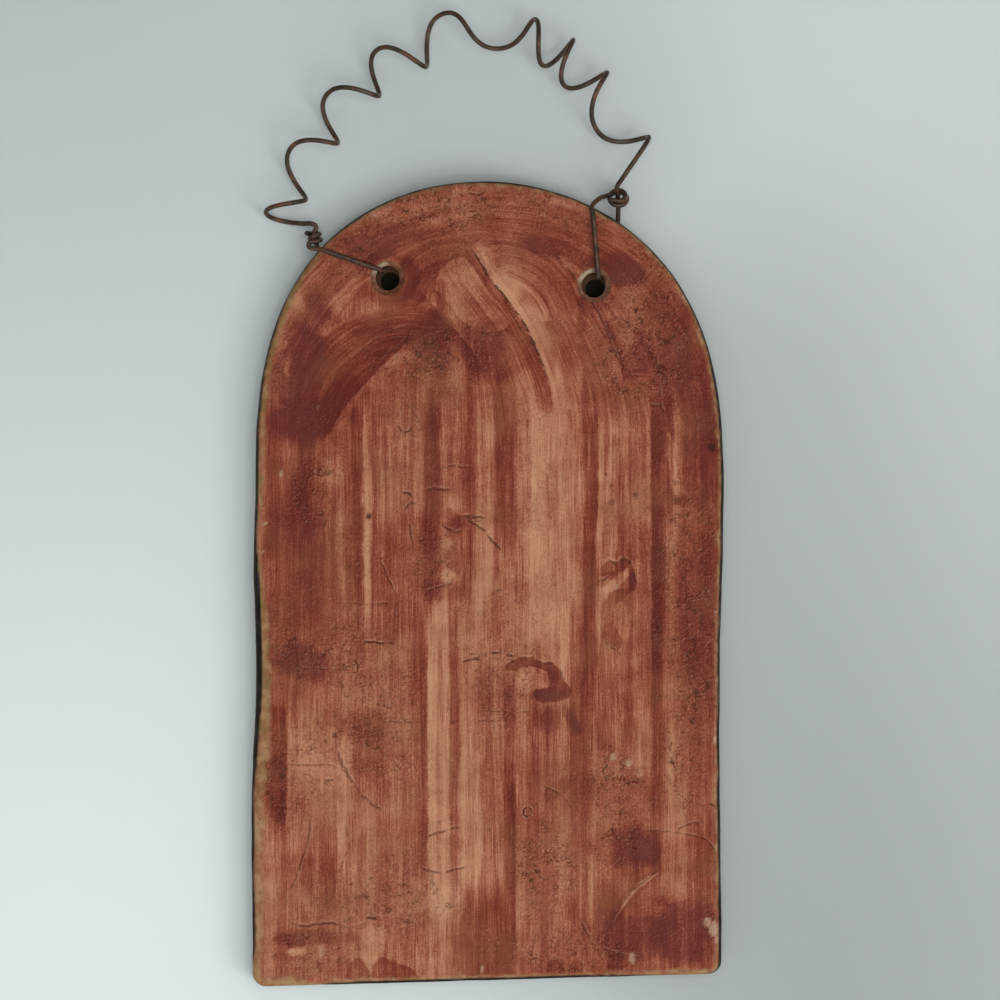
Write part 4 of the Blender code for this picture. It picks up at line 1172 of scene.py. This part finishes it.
class Nodes:
    """Adds a material's nodes, with plain words for the ones used again and again."""

    def __init__(self, name):
        self.material = bpy.data.materials.new(name)
        self.material.use_nodes = True
        self.tree = self.material.node_tree
        self.shader = self.tree.nodes["Principled BSDF"]
        self.place = self.add("ShaderNodeTexCoord").outputs["Object"]

    def fill(self, node, inputs):
        """Set or link a node's inputs; they pair a socket's name or number with a value or an output."""
        for socket, value in dict(inputs).items():
            value = value.socket if isinstance(value, Value) else value
            if isinstance(value, bpy.types.NodeSocket):
                self.tree.links.new(value, node.inputs[socket])
            else:
                node.inputs[socket].default_value = value
        return node

    def add(self, kind, inputs=(), **settings):
        """A node with its settings and inputs."""
        node = self.tree.nodes.new(kind)
        for name, value in settings.items():
            setattr(node, name, value)
        return self.fill(node, inputs)

    def shaded(self, relief, height, **inputs):
        """Give the shader its inputs and its bumps, whose height is in millimetres."""
        bump = self.add("ShaderNodeBump", {"Strength": relief, "Distance": MM, "Height": height})
        self.fill(self.shader, {name.replace("_", " "): value for name, value in inputs.items()})
        self.fill(self.shader, {"Normal": bump.outputs["Normal"]})
        return self.material

    def read(self, name):
        """A number stored on the mesh's points."""
        return Value(self, self.add("ShaderNodeAttribute", attribute_name=name).outputs["Fac"])

    def read_vector(self, name):
        """A vector stored on the mesh's points."""
        return self.add("ShaderNodeAttribute", attribute_name=name).outputs["Vector"]

    def parts(self, vector):
        """The three numbers of a vector."""
        return [Value(self, part) for part in self.add("ShaderNodeSeparateXYZ", {"Vector": vector}).outputs]

    def stretch(self, vector, scale):
        """A vector with each part multiplied."""
        return self.add("ShaderNodeVectorMath", {0: vector, 1: scale}, operation="MULTIPLY").outputs[0]

    def noise_over(self, vector, scale, detail=2.0, rough=0.5):
        """Noise over a vector."""
        inputs = {"Vector": vector, "Scale": scale, "Detail": detail, "Roughness": rough}
        return Value(self, self.add("ShaderNodeTexNoise", inputs).outputs["Fac"])

    def noise(self, size, detail=2.0, rough=0.5):
        """Noise over the piece, whose features are about size millimetres across."""
        return self.noise_over(self.place, 1.0 / (size * MM), detail, rough)

    def cells(self, vector, size, feature="F1"):
        """How far each place is from the middle, or from the edge, of its cell of about size millimetres."""
        inputs = {"Vector": vector, "Scale": 1 / (size * MM)}
        return Value(self, self.add("ShaderNodeTexVoronoi", inputs, feature=feature).outputs["Distance"])

    def distance(self, across, up):
        """How far each place is from one in metres, seen from the front."""
        inputs = {0: self.stretch(self.place, (1, 0, 1)), 1: (across, 0.0, up)}
        return Value(self, self.add("ShaderNodeVectorMath", inputs, operation="DISTANCE").outputs["Value"])

    def step(self, value, low, high):
        """Smooth step from 0 at low to 1 at high."""
        inputs = {"Value": value, "From Min": low, "From Max": high}
        node = self.add("ShaderNodeMapRange", inputs, interpolation_type="SMOOTHSTEP")
        return Value(self, node.outputs["Result"])

    def blend(self, share, under, over):
        """One colour laid over another."""
        inputs = dict(zip(MIX_COLOUR_INPUTS, (share, under, over)))
        return self.add("ShaderNodeMix", inputs, data_type="RGBA").outputs[MIX_COLOUR_OUTPUT]

    def ramp(self, value, *stops):
        """Colours by value; each stop is a place and a colour."""
        node = self.add("ShaderNodeValToRGB", {"Fac": value})
        marks = node.color_ramp.elements
        while len(marks) < len(stops):
            marks.new(1.0)
        for mark, (place, colour) in zip(marks, stops):
            mark.position, mark.color = place, colour
        return node.outputs["Color"]


def paint(red, green, blue):
    """A linear colour from screen values of 0 to 255."""
    values = [value / 255 for value in (red, green, blue)]
    return (*[v / 12.92 if v <= 0.04045 else ((v + 0.055) / 1.055) ** 2.4 for v in values], 1.0)


class Clay(Nodes):
    """The clay's nodes, with the noises and marks that its colour and its relief share."""

    def __init__(self):
        super().__init__("washed_clay")
        stroke = self.read_vector("stroke")
        grainy = self.read("grain")
        self.hairs = self.noise_over(self.stretch(stroke, (1 / 1.5, 1 / 60.0, 1.0)), 1.0, 5.0, 0.72)
        self.fibres = self.noise_over(self.stretch(stroke, (1 / 0.42, 1 / 14.0, 1.0)), 1.0, 3.0, 0.7)
        self.stipple = self.noise(0.9, 4.0, 0.72)
        self.speck = self.noise(0.42, 3.0, 0.65)
        self.mottle = self.noise(5.0, 5.0, 0.65)
        self.wander = self.noise(2.4, 4.0, 0.65) - 0.5
        self.grain = grainy * (self.step(self.noise(3.6, 3.0, 0.6), 0.40, 0.60) * 0.75 + 0.25)
        self.streaky = self.read("calm") * (grainy * -0.65 + 1.0)

        off_crease = self.wander * 5.0 + self.read("crease_offset")
        crease_here = self.read("crease") * self.step(self.noise(1.9, 3.0, 0.65), 0.40, 0.54)
        self.crease = crease_here * self.step(abs(off_crease), 1.6, 0.6)
        # A painted highlight line beside each crease, on its lit side
        self.crease_highlight = crease_here * self.step(abs(off_crease + 2.1), 1.3, 0.4)

        warp = self.add("ShaderNodeTexNoise", {"Vector": self.place, "Scale": 1 / (1.6 * MM), "Detail": 4.0})
        inputs = {0: warp.outputs["Color"], 1: (2.2 * MM,) * 3, 2: self.place}
        warped = self.add("ShaderNodeVectorMath", inputs, operation="MULTIPLY_ADD").outputs[0]
        cells = self.cells(warped, 2.4, "DISTANCE_TO_EDGE")
        crackle = self.step(cells, 0.12, 0.02) * self.step(self.noise(2.6, 2.0), 0.46, 0.60)
        long_places = self.stretch(self.place, (1 / (3.4 * MM), 1 / MM, 1 / (0.5 * MM)))
        cracks = self.noise_over(long_places, 1.0, 5.0, 0.7)
        self.hairline = largest(crackle, self.step(cracks, 0.60, 0.65)) * self.grain
        dots = self.cells(warped, 2.9)
        pinhole = self.step(dots, 0.13, 0.06) * self.step(self.noise(4.2, 2.0), 0.40, 0.52)
        self.pinhole = pinhole * (grainy * 0.8 + 0.3).clamped()
        self.pitting = self.step(self.stipple, 0.56, 0.64) * self.grain

        # Painted light and shade of the grain: the stipple less a copy stepped towards the light, so each
        # bump gets a lit and a shaded side in colour
        beside = self.add("ShaderNodeVectorMath", {0: self.place, 1: LIGHT_STEP}).outputs[0]
        self.grain_light_and_shade = self.stipple - self.noise_over(beside, 1 / (0.9 * MM), 4.0, 0.72)
        self.grain_highlights = self.step(self.grain_light_and_shade, 0.05, 0.14) * (self.grain * 0.9 + 0.06)

    def wash(self, tones):
        """How thick the wash looks: the painted thickness with its crisp edges, streaks and specks,
        darkened and lightened by the grain's painted light and shade.

        A sine of it is taken off it, so that it gathers into a few tones.
        """
        rough = (self.speck - 0.5) * 1.6 + (self.mottle - 0.5) * 2.4
        rough = rough * 0.35 + (self.wander * 2.0 + (self.hairs - 0.5) * 0.8)
        wash = self.read("wash")
        for number in range(len(EDGES)):
            offset, first, second = self.parts(self.read_vector(f"edge_{number}"))
            inputs = {"Factor": self.step(offset + rough, -0.20, 0.20), "A": second, "B": first}
            wash = wash + Value(self, self.add("ShaderNodeMix", inputs).outputs["Result"])
        bristles = self.step(self.fibres, 0.56, 0.66) - self.step(self.fibres, 0.42, 0.34)
        wash = bristles * self.streaky * 0.13 + wash
        wash = (self.hairs - 0.5) * self.streaky * 1.0 + wash
        wash = (self.fibres - 0.5) * self.streaky * 0.50 + wash
        for source, amount in ((self.mottle, 0.42), (self.speck, 0.60), (self.noise(0.75), 0.36)):
            wash = (source - 0.5) * amount + wash
        wash = (self.stipple - 0.5) * self.grain * 0.7 + wash
        # The grain's painted light and shade lighten and darken the wash
        wash = self.grain_light_and_shade * (self.grain * 1.0 + 0.12) * -1.1 + wash
        turns = 2 * math.pi * tones
        return (wash * turns).math("SINE") * (-0.7 / turns) + wash

    def colour(self, looks):
        """The washed face, then its bare rim and chips, the holes, the dark glaze and the back over it."""
        wash = self.wash(looks.tones)
        tone = self.ramp(wash * 0.8 + 0.1, (0.14, looks.thin_colour), (0.36, looks.light_colour),
                         (0.54, looks.wash_colour), (0.72, looks.deep_colour), (0.92, looks.dark_colour))
        plum = self.read("plum") * self.step(wash, 0.40, 0.85)
        tone = self.blend((plum * 0.6).clamped(), tone, looks.plum_colour)
        tone = self.blend(self.step(self.noise(14.0, 3.0), 0.42, 0.72) * 0.26, tone, paint(138, 90, 60))
        # Painted highlights: pale on the grain's lit sides and along one side of each crease
        tone = self.blend(largest(self.grain_highlights * 0.55, self.crease_highlight * 0.36), tone, paint(206, 156, 130))
        dark = largest(self.crease * 0.95, self.read("pit") * 0.9, self.hairline * 0.90,
                       self.pitting * 0.60, self.pinhole * 0.75)
        tone = self.blend(dark, tone, paint(66, 28, 20))
        bare = self.step(self.noise(3.2, 4.0), 0.4, 0.62)
        bare = self.blend(bare, paint(172, 138, 98), paint(146, 100, 68))
        olive_rim = self.read("rim_olive") * self.step(self.noise(7.0, 3.0), 0.38, 0.6)
        bare = self.blend(olive_rim * 0.75, bare, paint(120, 106, 60))
        tone = self.blend(self.read("bare") * self.step(self.noise(1.6, 4.0, 0.65), 0.30, 0.5), tone, bare)
        chip = self.blend(self.step(self.speck, 0.40, 0.56), paint(214, 190, 166), paint(168, 122, 94))
        tone = self.blend(self.read("chip") * self.step(self.speck, 0.36, 0.5), tone, chip)
        bore = self.blend(self.step(self.noise(1.8, 3.0), 0.36, 0.6), paint(108, 60, 44), paint(142, 94, 68))
        # Painted light on the bore's lit side, then painted shade darkening it to near black deeper in
        bore = self.blend(self.read("cream") * self.step(self.mottle, 0.30, 0.52), bore, paint(204, 190, 162))
        tone = self.blend(self.read("bevel"), tone, self.blend(self.read("depth"), bore, paint(36, 30, 20)))
        glaze = self.ramp(self.noise(6.0, 4.0), (0.30, paint(22, 19, 17)), (0.48, paint(40, 34, 26)),
                          (0.60, paint(44, 38, 46)), (0.72, paint(78, 70, 44)))
        tone = self.blend(self.read("glaze"), tone, glaze)
        back = self.ramp(self.noise(16.0, 7.0, 0.66), (0.30, paint(52, 44, 32)), (0.48, paint(84, 68, 46)),
                         (0.62, paint(108, 84, 54)), (0.78, paint(134, 112, 72)))
        return self.blend(self.read("back"), tone, back)

    def height(self):
        """Fine relief: streaks, stipple and chips stand up; creases, pits and cracks lie lower."""
        height = self.hairs * 0.22 * self.streaky
        height = self.fibres * 0.07 * self.streaky + height
        height = self.stipple * (self.grain * 0.9 + 0.06) * 0.55 + height
        for source, amount in ((self.mottle, 0.16), (self.crease, -0.22), (self.read("pit"), -0.30),
                               (self.hairline, -0.16), (self.pinhole, -0.14), (self.read("chip"), 0.10)):
            height = source * amount + height
        return height


def clay_material(looks):
    """Fired clay under a thin red wash: streaks follow the strokes, creases and pits hold dark wash."""
    clay = Clay()
    roughness = clay.read("bare") * 0.15 + (clay.stipple * 0.25 + 0.46)
    roughness = (clay.read("gloss") * -0.34 + roughness).clamped()
    return clay.shaded(looks.relief, clay.height(), Base_Color=clay.colour(looks), Roughness=roughness,
                       Specular_IOR_Level=0.1)


def wire_material(looks):
    """Dark annealed wire: brown patina broken by copper-coloured rubs and grey-green bloom."""
    wire = Nodes("patinated_wire")
    tone = wire.ramp(wire.noise(4.0, 5.0, 0.65), (0.32, looks.dark_colour), (0.52, looks.colour),
                     (0.70, looks.rub_colour))
    tone = wire.blend(wire.step(wire.noise(9.0, 3.0), 0.56, 0.70) * 0.5, tone, paint(92, 90, 76))
    height = wire.noise(0.5, 3.0) * 0.04 + wire.noise(2.0) * 0.08
    roughness = wire.noise(1.5, 3.0) * 0.35 + 0.28
    return wire.shaded(0.8, height, Base_Color=tone, Metallic=0.45, Roughness=roughness)


def wall_material(looks):
    """Pale matt paint that is seen from its front only, so that it never hides the plaque's back.

    Four tones blend across and up it as painted light, brighter in some corners than others, with a
    painted soft shade over the plaque and down its right.  Behind each hole deep shade is painted on the
    wall.
    """
    wall = Nodes("pale_wall")
    x, _, z = wall.parts(wall.place)
    # The four tones are painted light falling unevenly over the wall
    across = wall.step(x, -0.13, 0.17)
    low = wall.blend(across, looks.lower_left, looks.lower_right)
    high = wall.blend(across, looks.upper_left, looks.upper_right)
    tone = wall.blend(wall.step(z, -0.33, 0.02), low, high)
    # Painted shade: a soft band down the right of the plaque and a soft patch over its top
    beside = wall.step(abs(x - 0.105), 0.09, 0.0) * wall.step(z, -0.02, -0.12)
    over = wall.step(wall.distance(0.017, -0.04), 0.10, 0.02) * 0.7
    tone = wall.blend(largest(beside, over) * 0.24, tone, looks.shade)
    # Painted shade behind each hole, seen through the bore: a dim ring and an offset near-black disc
    for hole in (LEFT_HOLE, RIGHT_HOLE):
        for right, below, outer, inner, dark in HOLE_SHADES:
            centre = (np.array([hole[0] + right, 0.0, hole[1] - below]) + frame_shift()) * MM
            inside = wall.step(wall.distance(centre[0], centre[2]), outer * MM, inner * MM)
            tone = wall.blend(inside, tone, paint(*dark))
    wall.fill(wall.shader, {"Base Color": tone, "Roughness": 0.9, "Specular IOR Level": 0.1})
    behind = Value(wall, wall.add("ShaderNodeNewGeometry").outputs["Backfacing"])
    unseen = largest(behind, wall.add("ShaderNodeLightPath").outputs["Is Shadow Ray"])
    clear = wall.add("ShaderNodeBsdfTransparent").outputs[0]
    both = wall.add("ShaderNodeMixShader", {0: unseen, 1: wall.shader.outputs[0], 2: clear})
    wall.fill(wall.tree.nodes["Material Output"], {"Surface": both.outputs[0]})
    return wall.material


def tone_property(name, description, *screen):
    """A colour whose default is given by screen values of 0 to 255."""
    return FloatVectorProperty(name=name, description=description, subtype="COLOR", size=4,
                               default=paint(*screen))


def power_property(name, description, watts):
    """A light's power."""
    return FloatProperty(name=name, description=description, min=0.0, subtype="POWER", unit="POWER",
                         default=watts)


class ClayLooks(PropertyGroup):
    """Colours and relief of the washed clay."""

    thin_colour: tone_property("Thin wash", "Where the clay shows through most", 204, 148, 114)
    light_colour: tone_property("Light wash", "Lighter brush streaks", 181, 119, 91)
    wash_colour: tone_property("Wash", "The red-brown wash as it mostly lies", 153, 83, 61)
    deep_colour: tone_property("Deep wash", "Darker brush streaks", 126, 54, 38)
    dark_colour: tone_property("Pooled wash", "Where the wash lies thickest", 94, 32, 22)
    plum_colour: tone_property("Plum stain", "Purplish tint of the thickest wash", 103, 44, 42)
    tones: FloatProperty(name="Tones", description="How many distinct tones the wash breaks into",
                         min=2.0, max=12.0, default=5.5)
    relief: FloatProperty(name="Fine relief", description="Strength of brush marks, pits and creases",
                          min=0.0, max=1.0, subtype="FACTOR", default=0.9)


class WireLooks(PropertyGroup):
    """Colours of the hanging wire."""

    colour: tone_property("Patina", "The wire's brown patina", 74, 56, 44)
    dark_colour: tone_property("Dark patina", "The wire's darkest places", 40, 32, 27)
    rub_colour: tone_property("Rubbed metal", "Where the patina is rubbed", 112, 72, 50)


class StageLooks(PropertyGroup):
    """The pale wall and the soft light."""

    # The four wall colours hold painted light, and the side shade is a painted shade
    upper_left: tone_property("Upper left", "Wall colour at the upper left", 199, 207, 206)
    upper_right: tone_property("Upper right", "Wall colour at the upper right", 214, 220, 219)
    lower_left: tone_property("Lower left", "Wall colour at the lower left", 238, 246, 246)
    lower_right: tone_property("Lower right", "Wall colour at the lower right", 180, 186, 184)
    shade: tone_property("Side shade", "Tone of the soft shade right of the plaque", 120, 126, 122)
    front_power: power_property("Front light", "Power of the broad light behind the camera", 26.5)
    key_power: power_property("Key light", "Power of the soft light at the lower right", 11.0)
    side_power: power_property("Side lights", "Power of each soft light at the sides", 2.8)
    rear_power: power_property("Rear lights", "Power of each soft light behind the wall", 14.0)
    lens: FloatProperty(name="Lens", description="Focal length of the camera, on a 36 mm wide frame",
                        min=35.0, max=300.0, default=150.0)


class PLAQUE_OT_slab(Operator):
    """Build the washed clay slab over its solid"""

    bl_idname = "plaque.slab"
    bl_label = "Clay Slab"

    def execute(self, context):
        shell = build_slab_shell()
        points, inset = np.vstack(shell.points), np.concatenate(shell.inset)
        slab, used = mesh_from("washed_slab", points + frame_shift(), shell.faces)
        paint_slab(slab.data, points[used], inset[used])
        slab.data.materials.append(clay_material(context.scene.clay_looks))
        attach(slab, "root")
        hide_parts("clay_slab")
        return {"FINISHED"}


class PLAQUE_OT_wire(Operator):
    """Build the curled hanging wire over its solid"""

    bl_idname = "plaque.wire"
    bl_label = "Hanging Wire"

    def execute(self, context):
        points, faces = build_wire_shell(wire_path())
        wire, _ = mesh_from("curled_wire", points + frame_shift(), faces)
        wire.data.materials.append(wire_material(context.scene.wire_looks))
        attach(wire, "root")
        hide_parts("hanging_wire")
        return {"FINISHED"}


def build_wall(low, high):
    """The backdrop: an upright sheet close behind the plaque that curves out into a floor.

    Its profile is a straight drop, a quarter circle and a straight run forwards, carried
    sideways at two places.
    """
    floor, back = low[2] - FLOOR_DROP, high[1] + WALL_GAP
    turn = np.linspace(0.0, math.pi / 2, 17)
    bend = [back - WALL_BEND * (1 - np.cos(turn)), floor + WALL_BEND * (1 - np.sin(turn))]
    profile = np.vstack([[back, high[2] + WALL_RISE], np.stack(bend, axis=1), [back - FLOOR_RUN, floor]])
    rows = np.arange(len(profile))
    points = np.concatenate([np.stack([np.full(len(profile), side), *profile.T], axis=1)
                             for side in (-WALL_HALF_WIDTH, WALL_HALF_WIDTH)]) / MM
    quads = np.stack([rows[:-1], rows[1:], rows[1:] + len(rows), rows[:-1] + len(rows)], axis=1)
    return points, [quads]


def add_light(name, place, target, size, power):
    """A square soft light at a place, turned towards a target."""
    lamp = bpy.data.lights.new(name, "AREA")
    lamp.size, lamp.energy = size, power
    light = bpy.data.objects.new(name, lamp)
    light.location = place
    light.rotation_euler = (target - light.location).to_track_quat("-Z", "Y").to_euler()
    bpy.context.scene.collection.objects.link(light)


class PLAQUE_OT_stage(Operator):
    """Set up the pale wall, the soft lights and the camera"""

    bl_idname = "plaque.stage"
    bl_label = "Stage"

    def execute(self, context):
        looks = context.scene.stage_looks
        low, high = FRAME_BOX
        wall, _ = mesh_from("pale_wall", *build_wall(low, high))
        wall.data.materials.append(wall_material(looks))
        centre = (low + high) / 2
        for name, place, size, power in LIGHTS:
            add_light(name, centre + Vector(place), centre, size, getattr(looks, power))
        world = bpy.data.worlds.new("pale_room")
        world.use_nodes = True
        background = world.node_tree.nodes["Background"]
        background.inputs["Color"].default_value = paint(200, 208, 210)
        background.inputs["Strength"].default_value = 0.13
        context.scene.world = world
        context.scene.view_settings.view_transform = "Standard"
        lens = bpy.data.cameras.new("camera")
        lens.lens, lens.sensor_width = looks.lens, SENSOR_WIDTH
        lens.clip_start, lens.clip_end = 0.05, 20.0
        camera = bpy.data.objects.new("camera", lens)
        middle = lifted(np.array(VIEW_MIDDLE), -SLAB_THICKNESS / 2) + frame_shift()
        far = VIEW_WIDTH * MM * looks.lens / SENSOR_WIDTH
        camera.location = Vector(middle * MM) - Vector((0.0, far, 0.0))
        camera.rotation_euler = (math.pi / 2, 0.0, 0.0)
        context.scene.collection.objects.link(camera)
        context.scene.camera = camera
        return {"FINISHED"}


class PLAQUE_PT_panel(Panel):
    """Lists the plaque's pieces and their looks"""

    bl_idname = "PLAQUE_PT_panel"
    bl_label = "Hanging Clay Plaque"
    bl_space_type = "VIEW_3D"
    bl_region_type = "UI"
    bl_category = "Plaque"

    def draw(self, context):
        for operator, looks in (("plaque.slab", "clay_looks"), ("plaque.wire", "wire_looks"),
                                ("plaque.stage", "stage_looks")):
            self.layout.operator(operator)
            group = getattr(context.scene, looks)
            for name in group.__annotations__:
                self.layout.prop(group, name)


CLASSES = (ClayLooks, WireLooks, StageLooks, PLAQUE_OT_slab, PLAQUE_OT_wire, PLAQUE_OT_stage, PLAQUE_PT_panel)


def register():
    for item in CLASSES:
        bpy.utils.register_class(item)
    bpy.types.Scene.clay_looks = PointerProperty(type=ClayLooks)
    bpy.types.Scene.wire_looks = PointerProperty(type=WireLooks)
    bpy.types.Scene.stage_looks = PointerProperty(type=StageLooks)


def unregister():
    del bpy.types.Scene.stage_looks
    del bpy.types.Scene.wire_looks
    del bpy.types.Scene.clay_looks
    for item in reversed(CLASSES):
        bpy.utils.unregister_class(item)


def main():
    """Build the pieces and the stage."""
    register()
    bpy.ops.plaque.slab()
    bpy.ops.plaque.wire()
    bpy.ops.plaque.stage()


if __name__ == "__main__":
    main()
